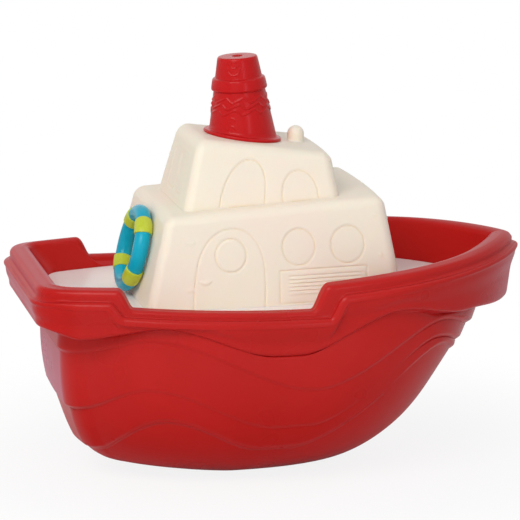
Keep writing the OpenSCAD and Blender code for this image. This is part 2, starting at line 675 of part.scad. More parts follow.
// ---- deckhouse ----
module on_stern_wall() {
    translate([house_stern_x, 0, deck_z]) rotate([0, house_stern_lean, 0]) children();
}
ring_in_r = ring_d / 2 - ring_tube / 2;
peg_up = ring_up + ring_in_r - peg_r - lift_gap;
peg_len = 0.7 * ring_tube + band_proud + lift_gap;
peg_stem_r = 0.7 * peg_r;
peg_head_r = peg_r + 0.6;
peg_head_t = 1.2;
module deckhouse() {
    color("antiquewhite") difference() {
        union() {
            moulding(house);
            collar(wheel);
        }
        on_stern_wall() translate([-5, ring_side, peg_up]) rotate([0, 90, 0])
            cylinder(r = peg_stem_r + slip_gap, h = 12);
        deckhouse_lines();
    }
}
module ring_peg() {
    wall_t = cabin_wall / cos(house_stern_lean);
    color("antiquewhite") on_stern_wall() translate([0, ring_side, peg_up]) rotate([0, -90, 0]) {
        translate([0, 0, 0.2]) cylinder(r = peg_r, h = peg_len - peg_r / 2);
        translate([0, 0, peg_len - peg_r / 2]) cylinder(r1 = peg_r, r2 = peg_r / 2, h = peg_r / 2);
        translate([0, 0, -wall_t - 0.4]) cylinder(r = peg_stem_r, h = wall_t + 1);
        translate([0, 0, -wall_t - 0.4 - peg_head_t]) cylinder(r = peg_head_r, h = peg_head_t);
    }
}

// ---- wheelhouse and its lamp ----
function wheel_roof(x) = roof_z(wheel, x);
module above_wheel_roof(h) {
    translate([0, 0, wheel_roof_z + seat_gap]) rotate([0, wheel_slope, 0])
        translate([-100, -100, 0]) cube([200, 200, h]);
}
module wheelhouse() {
    color("antiquewhite") difference() {
        moulding(wheel);
        on_funnel_axis() translate([0, 0, -plug_len - 5])
            cylinder(r = plug_r + lift_gap, h = plug_len + 15);
        translate([lamp_x, 0, wheel_roof(lamp_x) - 10])
            cylinder(r = lamp_stem_r + slip_gap, h = 20);
        wheelhouse_lines();
    }
}
lamp_foot = 0.5;
module roof_lamp() {
    color("antiquewhite") translate([lamp_x, 0, 0]) {
        intersection() {
            translate([0, 0, wheel_roof(lamp_x) - 3]) union() {
                cylinder(r = lamp_r, h = lamp_h + 3 - lamp_r);
                translate([0, 0, lamp_h + 3 - lamp_r]) sphere(r = lamp_r);
            }
            translate([-lamp_x, 0, 0]) above_wheel_roof(40);
        }
        translate([0, 0, wheel_roof(lamp_x) - cabin_wall - 2])
            cylinder(r = lamp_stem_r, h = cabin_wall + 3);
        translate([0, 0, wheel_roof(lamp_x) - cabin_wall - 3.4])
            cylinder(r = lamp_stem_r + 1, h = 1.6);
    }
}

// ---- funnel ----
module on_funnel_axis() {
    translate([funnel_x, 0, wheel_roof(funnel_x)]) rotate([0, -funnel_lean, 0]) children();
}
funnel_wall = 1.8;
bead_out = 1.7;
bead_low = funnel_h - 20.8;
bead_top = funnel_h - 13.2;
function cone_r(z) = mix(funnel_foot_r, funnel_top_r, z / funnel_h);
module funnel_profile() {
    polygon([
        [0, -8], [cone_r(-8), -8], [cone_r(bead_low), bead_low],
        [cone_r(bead_low) + bead_out - 0.6, bead_low + 0.3],
        [cone_r(bead_low) + bead_out, bead_low + 1.4],
        [cone_r(bead_low) + bead_out, bead_top - 1.4],
        [cone_r(bead_low) + bead_out - 0.6, bead_top - 0.3],
        [cone_r(bead_top), bead_top], [cone_r(funnel_h - 1.2), funnel_h - 1.2],
        [funnel_top_r - 1, funnel_h], [0, funnel_h]
    ]);
}
module funnel() {
    color("firebrick") difference() {
        union() {
            intersection() {
                on_funnel_axis() rotate_extrude() funnel_profile();
                above_wheel_roof(90);
            }
            intersection() {
                translate([funnel_x, 0, wheel_roof(funnel_x)]) rotate([0, wheel_slope, 0])
                    cylinder(r = flange_r, h = flange_t);
                above_wheel_roof(90);
            }
            on_funnel_axis() translate([0, 0, -plug_len]) cylinder(r = plug_r, h = plug_len + 4);
        }
        on_funnel_axis() {
            translate([0, 0, -plug_len - 1]) cylinder(r = plug_r - funnel_wall, h = plug_len + 1.01);
            cylinder(r1 = plug_r - funnel_wall, r2 = funnel_top_r - funnel_wall,
                h = funnel_h - funnel_wall);
            cylinder(r = squirt_r, h = funnel_h + 5);
        }
    }
}

// ---- life ring ----
module at_ring() {
    on_stern_wall() translate([-ring_tube / 2 - band_proud - lift_gap, ring_side, ring_up])
        rotate([0, 90, 0]) children();
}
module life_ring() {
    color("deepskyblue") at_ring() rotate_extrude() translate([ring_d / 2, 0]) circle(r = ring_tube / 2);
}
band_turns = [band_turn, 135, 225, -band_turn];
module ring_band(k) {
    color("yellowgreen") at_ring() rotate([0, 0, band_turns[k - 1] - band_angle / 2])
        rotate_extrude(angle = band_angle) translate([ring_d / 2, 0]) difference() {
            circle(r = ring_tube / 2 + band_proud);
            circle(r = ring_tube / 2);
        }
}

hull_shell();
hull_liner();
deck_seal();
deck();
deck_screws();
keel_ballast();
ballast_cover();
cover_screws();
deckhouse();
ring_peg();
wheelhouse();
roof_lamp();
funnel();
life_ring();
ring_band(1);  // ring_band_1
ring_band(2);  // ring_band_2
ring_band(3);  // ring_band_3
ring_band(4);  // ring_band_4
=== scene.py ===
"""Looks of the toy boat: fine moulded forms, materials, studio and camera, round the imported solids."""
import math

import bpy
import numpy as np
from mathutils import Matrix, Vector


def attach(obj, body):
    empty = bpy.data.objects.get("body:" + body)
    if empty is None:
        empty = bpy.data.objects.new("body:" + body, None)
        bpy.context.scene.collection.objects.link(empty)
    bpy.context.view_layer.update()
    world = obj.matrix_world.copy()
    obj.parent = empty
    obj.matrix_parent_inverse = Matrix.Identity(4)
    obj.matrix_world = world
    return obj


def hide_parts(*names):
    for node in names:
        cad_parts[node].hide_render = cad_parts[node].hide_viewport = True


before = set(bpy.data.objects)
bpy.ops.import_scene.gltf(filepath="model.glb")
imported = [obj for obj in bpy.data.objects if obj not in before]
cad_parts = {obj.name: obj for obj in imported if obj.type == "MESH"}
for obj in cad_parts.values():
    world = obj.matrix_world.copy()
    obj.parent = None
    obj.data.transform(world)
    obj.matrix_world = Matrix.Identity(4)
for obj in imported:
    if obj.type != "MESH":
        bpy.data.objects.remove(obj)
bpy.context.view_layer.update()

MM = 0.001


# ---------------------------------------------------------------- small maths
def ease(t):
    k = np.clip(t, 0, 1)
    return k * k * (3 - 2 * k)


def mix(a, b, t):
    return a + (b - a) * t


def tand(a):
    return math.tan(math.radians(a))


# ---------------------------------------------------------------- sizes, millimetres
LENGTH, BEAM = 327.0, 205.0
SHELL_WALL, CORNER_R, TAPER = 2.2, 12.0, 26.0
BOW_FULLNESS, BOW_POINT = 2.82, 0.85
TOPSIDE_Z, FLAT_HALF, HEEL = 100.0, 16.0, 9.5
STERN_RIM, WAIST, BOW_RIM, TIP_RIM = 135.0, 119.4, 135.2, 143.4
STERN_STEP, STERN_LEN, STERN_BACK = -114.0, 10.5, 4.6
BOW_STEP, BOW_LEN, BOW_BACK = 4.4, 12.0, 9.8
RIM_OUT, TRANSOM_OUT, RIDGE_T, RIDGE_PROUD = 10.5, 2.5, 2.2, 2.6
RIDGE_FALL, RIDGE_WAIST_FALL = 9.2, 6.4
WAIST_SAG, BOW_RISE, BOW_LEAD = 3.2, 1.35, 8.0
TRANSOM_DROP, FLANGE_UP = 1.2, 0.5
WAVE_STEP = 2.0
DECK_Z, DECK_T, SEAL_T = 115.5, 2.0, 0.8
LINER_WALL, LEDGE_W, LIFT_GAP = 1.8, 7.0, 0.3

HALF_CREST = BEAM / 2 - RIM_OUT
STERN_X = -(LENGTH / 2 - RIM_OUT - TRANSOM_OUT)
BOW_X = LENGTH / 2 - RIM_OUT
SIDE_X = STERN_X + CORNER_R
BOW_PART_X = BOW_STEP + BOW_LEN + BOW_BACK


# ---------------------------------------------------------------- plan of the rim's crest
def half_beam(x):
    aft = HALF_CREST - TAPER * (x / STERN_X) ** 2
    fore = HALF_CREST * (1 - np.clip(x / BOW_X, 0, 1) ** BOW_FULLNESS) ** BOW_POINT
    return np.where(x < 0, aft, fore)


def crest_y(x):
    """The half beam with the transom's corners rounded off."""
    d = np.clip(SIDE_X - x, 0, CORNER_R)
    return half_beam(x) - (CORNER_R - np.sqrt(CORNER_R**2 - d * d))


# Shares of the way round half the boat at which the transom's corner begins and ends
CORNER_SHARE, SIDE_SHARE = 0.1, 0.16


def half_stations():
    """Points of half the crest, from the transom's middle to the stem: x, y and share of the way."""
    def span(a, b, gap):
        return np.linspace(a, b, max(2, int(round((b - a) / gap)) + 1))[:-1]

    transom_n, corner_n, bow_n = 30, 16, 90
    coarse, fine, edge = 1.4, 0.5, 3.0
    t = np.arange(transom_n) / transom_n
    y_end = float(crest_y(np.array(STERN_X)))
    rows = [np.stack([np.full(transom_n, STERN_X), y_end * t, CORNER_SHARE * t], 1)]
    c = np.arange(corner_n) / corner_n
    x = SIDE_X - CORNER_R * np.cos(np.pi / 2 * c)
    rows.append(np.stack([x, crest_y(x), mix(CORNER_SHARE, SIDE_SHARE, c)], 1))
    stern_from, stern_to = STERN_STEP - STERN_BACK - edge, STERN_STEP + STERN_LEN + edge
    bow_from, bow_to = BOW_STEP - edge, BOW_PART_X + edge
    x = np.concatenate([
        span(SIDE_X, stern_from, coarse),
        span(stern_from, stern_to, fine),
        span(stern_to, bow_from, coarse),
        span(bow_from, bow_to, fine),
        mix(bow_to, BOW_X, np.sin(np.pi / 2 * np.arange(bow_n) / bow_n)),
    ])
    turn = np.degrees(np.arcsin(np.clip((x - SIDE_X) / (BOW_X - SIDE_X), 0, 1))) / 90
    rows.append(np.stack([x, crest_y(x), mix(SIDE_SHARE, 1, turn)], 1))
    rows.append(np.array([[BOW_X, 0.0, 1.0]]))
    return np.concatenate(rows)


HALF = half_stations()
S = np.concatenate([HALF, HALF[-2:0:-1]])
SX, SY, SHARE = S.T
SGN = np.where(np.arange(len(S)) < len(HALF), 1.0, -1.0)
PLAN = np.stack([SX, SGN * SY], 1)
ALONG = np.roll(PLAN, -1, 0) - np.roll(PLAN, 1, 0)
NX, NY = ALONG[:, 1] * -1, ALONG[:, 0]
ALONG_LEN = np.hypot(NX, NY)
NX, NY = NX / ALONG_LEN, NY / ALONG_LEN


# ---------------------------------------------------------------- heights along the rim
def raised(x, back=(0.0, 0.0)):
    """Share of the step up from the waist, 1 on the raised stern and bow; back: (stern's, bow's) lead."""
    aft = 1 - ease(np.clip((x + back[0] - STERN_STEP) / STERN_LEN, 0, 1) ** 1.5)
    fore = 1 - ease(np.clip(1 - (x - back[1] - BOW_STEP) / BOW_LEN, 0, 1) ** 1.5)
    return np.where(x < (STERN_STEP + BOW_STEP) / 2, aft, fore)


def rim_z(x, back=(0.0, 0.0)):
    """The height of the crest; back as for raised()."""
    waist = WAIST + WAIST_SAG * (np.minimum(x, 0) / 100) ** 2
    start = BOW_STEP + BOW_LEAD
    rise = 1 - (1 - np.clip((x - start) / (BOW_X - start), 0, 1)) ** BOW_RISE
    top = np.where(x < (STERN_STEP + BOW_STEP) / 2, STERN_RIM, mix(BOW_RIM, TIP_RIM, rise))
    return mix(waist, top, raised(x, back))


def ridge_z(x):
    """The height of the ridge's middle."""
    back = (STERN_BACK, BOW_BACK)
    fall = mix(RIDGE_WAIST_FALL, RIDGE_FALL, raised(x, back))
    return rim_z(x, back) - fall - TRANSOM_DROP * transom_part(x)


def lean_of(curve, reach):
    """The parts along x and down of the direction square to a curve of heights."""
    slope = (curve(SX + reach) - curve(SX - reach)) / (2 * reach)
    return slope / np.sqrt(1 + slope**2), 1 / np.sqrt(1 + slope**2)


def transom_part(x):
    """0 on the sides, 1 on the transom, and between them round its corner."""
    return ease((SIDE_X - x) / CORNER_R)


RIM = rim_z(SX)
RIDGE_N = RIM_OUT + TRANSOM_OUT * transom_part(SX)
RIDGE_Z = ridge_z(SX)
FLANGE_Z = RIDGE_Z + RIDGE_T / 2 + FLANGE_UP
AT_TIP = ease((SX - 95) / 50)


# ---------------------------------------------------------------- wave lines
def line_z(pts, x):
    """The height at x of a wavy line that eases from each point to the next."""
    z = np.full_like(x, pts[-1][1])
    for (x0, z0), (x1, z1) in zip(pts[:-1], pts[1:]):
        z = np.where((x >= x0) & (x < x1), mix(z0, z1, ease((x - x0) / (x1 - x0))), z)
    return z


# Points (x, z) of the four lines, the top one first; the top one is the lower edge of the band
WAVES = [
    [(STERN_X, 108.5), (-135, 103), (-86, 110), (-18, 91.5), (-4, 91.5), (62, 115), (110, 107),
     (BOW_X, 101)],
    [(STERN_X, 90), (-98, 102), (11, 69), (104, 103.5), (BOW_X, 88)],
    [(STERN_X, 52), (-99, 70), (-10, 43.5), (16, 43.8), (100, 93), (BOW_X, 77.5)],
    [(STERN_X, 22), (-88, 50), (-12, 28), (14, 28), (106, 87), (BOW_X, 70)],
]
WZ = [line_z(w, SX) for w in WAVES]
# Shares of a step's depth along the side, and how much deeper it gets at the bow and the transom
SIDE_UPPER, SIDE_LOWER = 0.6, 0.45
BOW_MORE, TRANSOM_MORE = 0.4, 0.6
TRANSOM_FROM = -136.0


def wave_depth(k):
    """Each step is shallow along the side and full at the ends; the two lower ones fade near x = 60."""
    ends = np.maximum(ease((SX - 65) / 45), ease((-105 - SX) / 30))
    if k <= 1:
        return WAVE_STEP * mix(SIDE_UPPER, 1, ends) * (1 + BOW_MORE * ease((SX - 90) / 50))
    gap = 1 - ease((SX - 15) / 45) + ease((SX - 62) / 35)
    more = 1 + TRANSOM_MORE * ease((TRANSOM_FROM - SX) / 8)
    return WAVE_STEP * mix(SIDE_LOWER, 1, ends) * gap * more


# ---------------------------------------------------------------- the hull's sections
# K is the outline of the flat bottom, T the one at the topside's height
BOTTOM_MID, BOTTOM_HALF = -36.5, 71.5
BOW_IN, STERN_IN = 0.901, 0.951
CORNER_POWER = 0.55
WELL_LONG, WELL_WIDE = 0.905, 0.93
TUCK, SIDE_POWER = 0.05, 1.8
BAND_LEAN, BAND_LEAN_BOW = 0.05, 0.13
# Offsets fade out this close to the middle plane
MIDDLE = 12.0
TURN = np.pi * SHARE**0.85
KX = BOTTOM_MID - BOTTOM_HALF * np.cos(TURN)
KY = FLAT_HALF * np.sin(TURN)
KZ = HEEL * np.maximum(0, (-40 - KX) / 68) ** 1.3 + 6 * np.maximum(0, (KX - 15) / 20) ** 2
TX = SX * np.where(SX > 0, BOW_IN, STERN_IN)
TY = SY * (1.06 - 0.36 * np.maximum(0, (-SX - 60) / (-STERN_X - 60)) ** 3)
# The corners of the transom are tighter below the band
ROUND = np.clip((SIDE_X - SX) / CORNER_R, 0, 1)
IN_CORNER = (SHARE > CORNER_SHARE) & (SHARE < SIDE_SHARE)
TIGHT_X = np.where(IN_CORNER, SIDE_X - CORNER_R * ROUND**CORNER_POWER, SX)
TIGHT_IN = CORNER_R * (1 - np.sqrt(1 - ROUND**2) ** CORNER_POWER)
TIGHT_Y = np.where(IN_CORNER, half_beam(TIGHT_X) - TIGHT_IN, SY)
TX = TX + np.where(IN_CORNER, STERN_IN * (TIGHT_X - SX), 0)
TY = np.where(IN_CORNER, TY * TIGHT_Y / np.maximum(SY, 1), TY)
BILGE_AFT = mix(2, 2.2, ease(SHARE / 0.4))
BILGE_FORE = mix(2.2, 1, ease((SHARE - 0.4) / 0.6))
BILGE = np.where(SHARE < 0.4, BILGE_AFT, BILGE_FORE)


def hull_pt(z, off=0.0):
    """The hull's outside at height z, below the band, moved out by off."""
    u = np.clip((z - KZ) / (TOPSIDE_Z - KZ), 0, 1)
    tuck = TUCK * ease((SHARE - 0.6) / 0.4) * np.sin(np.pi * np.clip((u - 0.27) / 0.73, 0, 1)) ** 2
    h = (1 - (1 - u) ** BILGE) ** (1 / SIDE_POWER) - tuck
    x = mix(KX, TX, h) + off * NX
    y = mix(KY, TY, h)
    y = y + off * np.abs(NY) * np.minimum(1, y / MIDDLE)
    return np.stack([x, SGN * y, np.maximum(z, KZ)], 1)


def rim_pt(n_out, z, along=0.0):
    """A point n_out outside the crest, moved along it by a length in x."""
    side = np.maximum(SGN * NY, 0.3)
    y = np.maximum(0, SY + n_out * SGN * NY - along * NX / side)
    return np.stack([SX + n_out * NX + along, SGN * y, z + 0 * SX], 1)


def foot_pt(n_out, z):
    """The outline of the deck's well at height z, moved out by n_out."""
    x = WELL_LONG * SX + n_out * NX
    y = WELL_WIDE * SY + n_out * np.abs(NY) * np.minimum(1, SY / MIDDLE)
    return np.stack([x, SGN * y, z + 0 * SX], 1)


def band_n(z):
    """How far outside the crest the band's face is at height z."""
    lean = mix(BAND_LEAN, BAND_LEAN_BOW, ease((SX - 100) / 50))
    return RIDGE_N - RIDGE_PROUD - lean * (RIDGE_Z - z)


# ---------------------------------------------------------------- mesh making
def rungs(n, shift=0):
    """Faces across a loop that is the same to port and starboard."""
    faces = []
    for i in range(n // 2 - shift):
        a, b = i, i + 1
        c, d = (n - b - shift) % n, (n - a - shift) % n
        f = [a, b, c, d]
        faces.append([f[j] for j in range(4) if f[j] != f[j - 1]])
    return faces


def skin(name, rows, caps=(None, None), looped=False):
    """A mesh of rows of points, each joined to the next. caps: a shift for rungs(), or None."""
    m, n = len(rows), len(rows[0])
    idx = np.arange(m * n).reshape(m, n)
    nxt = np.roll(idx, -1, 1)
    last = m if looped else m - 1
    faces = []
    for j in range(last):
        k = (j + 1) % m
        faces += np.stack([idx[j], nxt[j], nxt[k], idx[k]], 1).tolist()
    if caps[0] is not None:
        faces += [f[::-1] for f in rungs(n, caps[0])]
    if caps[1] is not None:
        faces += [[idx[-1][v] for v in f] for f in rungs(n, caps[1])]
    me = bpy.data.meshes.new(name)
    me.from_pydata((np.concatenate(rows) * MM).tolist(), [], [[int(v) for v in f] for f in faces])
    me.validate()
    me.polygons.foreach_set("use_smooth", [True] * len(me.polygons))
    ob = bpy.data.objects.new(name, me)
    bpy.context.scene.collection.objects.link(ob)
    return ob


def spline(ctrl, per):
    """Catmull-Rom rows through control rows; per[i] rows in span i."""
    out = []
    m = len(ctrl)
    for i in range(m - 1):
        p0, p1, p2, p3 = ctrl[max(0, i - 1)], ctrl[i], ctrl[i + 1], ctrl[min(m - 1, i + 2)]
        for s in np.arange(per[i]) / per[i]:
            out.append(0.5 * (2 * p1 + (p2 - p0) * s + (2 * p0 - 5 * p1 + 4 * p2 - p3) * s**2
                              + (3 * p1 - p0 - 3 * p2 + p3) * s**3))
    out.append(ctrl[-1])
    return out


def add_painted_reflection(ob):
    """Painted reflection on the red vinyl, laid on by place: a lavender sheen (haze), most on the transom
    and a little round the bow, and how strongly it mirrors (shine), least low on the hull and at the bow, a
    painted cut in reflection there."""
    co = np.empty(3 * len(ob.data.vertices))
    ob.data.vertices.foreach_get("co", co)
    x, _, z = co.reshape(-1, 3).T / MM
    in_band, in_coping = ease((z - 80) / 16), ease((z - 128) / 8)
    stern = ease((TRANSOM_FROM - x) / 10) * mix(0.3, 0.06, in_band)
    bow = ease((x - 85) / 60) * ease((z - 35) / 45)
    side_shine = mix(0.03, 0.17, ease((z - 15) / 75))
    shine = mix(side_shine, mix(0.18, 0.1, in_band), ease((-134 - x) / 10))
    shine = shine * (1 - mix(0.5, 0.7, in_coping) * ease((x - 80) / 60))
    bow = bow * (1 - 0.8 * in_coping)
    # Painted reflection set by place: a lavender sheen on the transom and bow, and less mirroring low on
    # the hull and at the bow
    for name, value in (("painted_sheen", 0.015 + stern + 0.07 * bow), ("shine", shine)):
        ob.data.attributes.new(name, "FLOAT", "POINT").data.foreach_set("value", value)


def finish_piece(ob, body, slot, mat, *nodes, flat=None):
    ob.data.materials.append(mat)
    if flat is not None:
        ob.data.set_sharp_from_angle(angle=math.radians(flat))
    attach(ob, body)
    if nodes:
        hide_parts(*nodes)
    return ob


# ---------------------------------------------------------------- materials
def new_mat(name):
    mat = bpy.data.materials.new(name)
    mat.use_nodes = True
    nt = mat.node_tree
    return mat, nt, nt.nodes["Principled BSDF"]


def node(nt, kind, **values):
    nd = nt.nodes.new(kind)
    for k, v in values.items():
        if k in nd.inputs:
            nd.inputs[k].default_value = v
        else:
            setattr(nd, k, v)
    return nd


SOFT_RADIUS = (1.6, 0.8, 0.45)


def plastic(name, tints, rough, grain, mottle=22.0, sss=0.0, spec=0.5, bump=0.05, painted_sheen=False, groove_shade=None):
    """Moulded plastic: slow colour mottling, uneven gloss, and a fine moulded skin.
    tints: two linear colours; rough: two roughness values; grain, mottle: scales of the noises;
    haze: the sheen (a painted reflection) and the specular level come from the points' haze and shine; cut:
    the colour painted in the engraved lines, a painted shade."""
    mat, nt, bsdf = new_mat(name)
    tex = node(nt, "ShaderNodeTexCoord")
    slow = node(nt, "ShaderNodeTexNoise", Scale=mottle, Detail=2.0, Roughness=0.5)
    fine = node(nt, "ShaderNodeTexNoise", Scale=grain, Detail=2.0, Roughness=0.5)
    for t in (slow, fine):
        nt.links.new(tex.outputs["Object"], t.inputs["Vector"])
    ramp = node(nt, "ShaderNodeValToRGB")
    ramp.color_ramp.interpolation = "EASE"
    ramp.color_ramp.elements[0].position = 0.2
    ramp.color_ramp.elements[0].color = (*tints[0], 1)
    ramp.color_ramp.elements[1].position = 0.8
    ramp.color_ramp.elements[1].color = (*tints[1], 1)
    nt.links.new(slow.outputs["Fac"], ramp.inputs["Fac"])
    tint = ramp.outputs["Color"]
    # Painted shade: a darker, warmer cream in the engraved lines, where the points' line mask is set
    if groove_shade:
        line = node(nt, "ShaderNodeAttribute", attribute_name="line")
        shaded_groove = node(nt, "ShaderNodeMix", data_type="RGBA")
        shaded_groove.inputs[7].default_value = (*groove_shade, 1)
        nt.links.new(line.outputs["Fac"], shaded_groove.inputs[0])
        nt.links.new(tint, shaded_groove.inputs[6])
        tint = shaded_groove.outputs[2]
    nt.links.new(tint, bsdf.inputs["Base Color"])
    gloss = node(nt, "ShaderNodeMapRange", interpolation_type="SMOOTHSTEP")
    gloss.inputs["From Min"].default_value = 0.2
    gloss.inputs["From Max"].default_value = 0.8
    gloss.inputs["To Min"].default_value = rough[0]
    gloss.inputs["To Max"].default_value = rough[1]
    nt.links.new(slow.outputs["Fac"], gloss.inputs["Value"])
    nt.links.new(gloss.outputs["Result"], bsdf.inputs["Roughness"])
    skin_bump = node(nt, "ShaderNodeBump", Strength=bump, Distance=0.0004)
    nt.links.new(fine.outputs["Fac"], skin_bump.inputs["Height"])
    nt.links.new(skin_bump.outputs["Normal"], bsdf.inputs["Normal"])
    bsdf.inputs["Specular IOR Level"].default_value = spec
    # Painted reflection: the sheen weight and the specular level follow the points' attributes; the
    # lavender tint is its colour
    if painted_sheen:
        for name, socket in (("painted_sheen", "Sheen Weight"), ("shine", "Specular IOR Level")):
            worn = node(nt, "ShaderNodeAttribute", attribute_name=name)
            nt.links.new(worn.outputs["Fac"], bsdf.inputs[socket])
        bsdf.inputs["Sheen Roughness"].default_value = 0.35
        bsdf.inputs["Sheen Tint"].default_value = (0.46, 0.43, 1.0, 1)
    if sss:
        bsdf.inputs["Subsurface Weight"].default_value = sss
        bsdf.inputs["Subsurface Radius"].default_value = SOFT_RADIUS
        bsdf.inputs["Subsurface Scale"].default_value = 0.002
    return mat


MAT_RED = plastic("hull_red_vinyl", [(0.46, 0.010, 0.008), (0.49, 0.012, 0.010)],
                  rough=(0.26, 0.32), grain=1400.0, spec=0.18, bump=0.02, painted_sheen=True)
MAT_FUNNEL = plastic("funnel_red_vinyl", [(0.48, 0.006, 0.007), (0.51, 0.008, 0.009)],
                     rough=(0.2, 0.26), grain=1800.0, spec=0.14, bump=0.02)
# The cream's engraved lines get a painted shade colour
MAT_CREAM = plastic("cabin_cream_vinyl", [(0.91, 0.765, 0.645), (0.885, 0.815, 0.665)],
                    rough=(0.42, 0.52), grain=1600.0, mottle=16.0, sss=0.25, bump=0.06, spec=0.35,
                    groove_shade=(0.86, 0.70, 0.50))
# The deck is the cabin's cream vinyl with a painted pink-lavender tint: reflected light from the red hull,
# painted into the colour
MAT_DECK_PAINTED_PINK = plastic("deck_cream_painted_pink", [(0.90, 0.79, 0.75), (0.92, 0.83, 0.80)],
                   rough=(0.3, 0.4), grain=1500.0, sss=0.2, bump=0.06)
MAT_BLUE = plastic("ring_blue_paint", [(0.002, 0.34, 0.49), (0.003, 0.40, 0.55)],
                   rough=(0.2, 0.28), grain=2500.0, mottle=60.0, spec=0.2, bump=0.02)
MAT_LIME = plastic("band_lime_paint", [(0.48, 0.56, 0.03), (0.56, 0.63, 0.05)],
                   rough=(0.26, 0.36), grain=2500.0, mottle=70.0, spec=0.35, bump=0.03)
MAT_RUBBER = plastic("seal_grey_rubber", [(0.5, 0.5, 0.48), (0.6, 0.6, 0.58)],
                     rough=(0.6, 0.75), grain=3000.0)
MAT_COVER = plastic("cover_dark_plastic", [(0.05, 0.05, 0.055), (0.075, 0.075, 0.08)],
                    rough=(0.4, 0.55), grain=2200.0)


def steel(name, base, rough, streak):
    """Bare or plated steel with fine drawn streaks along X."""
    mat, nt, bsdf = new_mat(name)
    tex = node(nt, "ShaderNodeTexCoord")
    scale = node(nt, "ShaderNodeMapping")
    scale.inputs["Scale"].default_value = (1.0, streak, streak)
    lines = node(nt, "ShaderNodeTexNoise", Scale=900.0, Detail=3.0, Roughness=0.6)
    nt.links.new(tex.outputs["Object"], scale.inputs["Vector"])
    nt.links.new(scale.outputs["Vector"], lines.inputs["Vector"])
    ramp = node(nt, "ShaderNodeValToRGB")
    ramp.color_ramp.elements[0].color = (*[0.75 * v for v in base], 1)
    ramp.color_ramp.elements[1].color = (*base, 1)
    nt.links.new(lines.outputs["Fac"], ramp.inputs["Fac"])
    nt.links.new(ramp.outputs["Color"], bsdf.inputs["Base Color"])
    gloss = node(nt, "ShaderNodeMapRange")
    gloss.inputs["To Min"].default_value = rough[0]
    gloss.inputs["To Max"].default_value = rough[1]
    nt.links.new(lines.outputs["Fac"], gloss.inputs["Value"])
    nt.links.new(gloss.outputs["Result"], bsdf.inputs["Roughness"])
    bump = node(nt, "ShaderNodeBump", Strength=0.15, Distance=0.0002)
    nt.links.new(lines.outputs["Fac"], bump.inputs["Height"])
    nt.links.new(bump.outputs["Normal"], bsdf.inputs["Normal"])
    bsdf.inputs["Metallic"].default_value = 1.0
    return mat


MAT_SCREW = steel("screw_zinc_steel", (0.62, 0.62, 0.64), (0.25, 0.4), 1.0)
MAT_BAR = steel("ballast_mill_steel", (0.46, 0.45, 0.44), (0.35, 0.55), 6.0)


def paint_node(name, mat):
    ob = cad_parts[name]
    ob.data.materials.clear()
    ob.data.materials.append(mat)


# ---------------------------------------------------------------- hull shell
def undulate(rows, amount=0.12):
    """The slight unevenness of a soft moulding, inwards only."""
    out = []
    for r in rows:
        x, y, z = r.T
        w = amount * (np.sin(x / 23 + z / 31) + np.sin(z / 17 - x / 41 + 1.3) - 2) / 2
        q = r.copy()
        q[:, 0] += w * NX
        q[:, 1] += w * NY * np.minimum(1, np.abs(y) / MIDDLE)
        out.append(q)
    return out


AT_END = np.maximum(ease((SX - 40) / 75), ease((TRANSOM_FROM - SX) / 10))
# The ridge's profile along the sides and at the ends: (inset from its edge, drop from the flange)
SHOULDER = ((0.0, 4.7), (0.0, 4.2), (0.01, 3.7), (0.04, 3.25), (0.1, 2.75), (0.2, 2.3), (0.36, 1.85),
            (0.56, 1.45), (0.8, 1.1), (1.06, 0.8), (1.32, 0.54), (1.6, 0.3), (1.85, 0.1), (2.5, 0.01),
            (4.6, 0.01))
BEADED = ((0.92, 4.0), (0.8, 3.45), (0.55, 3.0), (0.27, 2.6), (0.08, 2.2), (0.0, 1.75), (0.02, 1.35),
          (0.1, 0.97), (0.28, 0.63), (0.6, 0.33), (1.1, 0.12), (1.8, 0.02), (3.0, 0.01), (3.6, 0.01),
          (4.6, 0.01))
# The band's lower edge: (inset from its face, height over the top wave line)
BAND_FOOT = ((2.5, 0.0), (2.1, 0.1), (1.6, 0.3), (1.1, 0.6), (0.65, 1.0), (0.3, 1.5), (0.08, 2.2),
             (0.0, 3.1))
WAVE_EDGE = (-1.7, -1.3, -0.9, -0.5, -0.1, 0.3, 0.7, 1.1, 1.5, 1.9, 2.6)
EDGE_LOW, EDGE_TOP = 1.7, WAVE_EDGE[-1]
BAND_LOW = BAND_FOOT[-1][1]
SHOULDER_DROP = SHOULDER[0][1]
SLOPE_REACH = 2.0
BOTTOM_ROWS, STEP_ROWS, BAND_ROWS = 34, 15, 15
BLUNT, BLUNT_END, RIDGE_REACH = 2.4, 1.7, 12.0


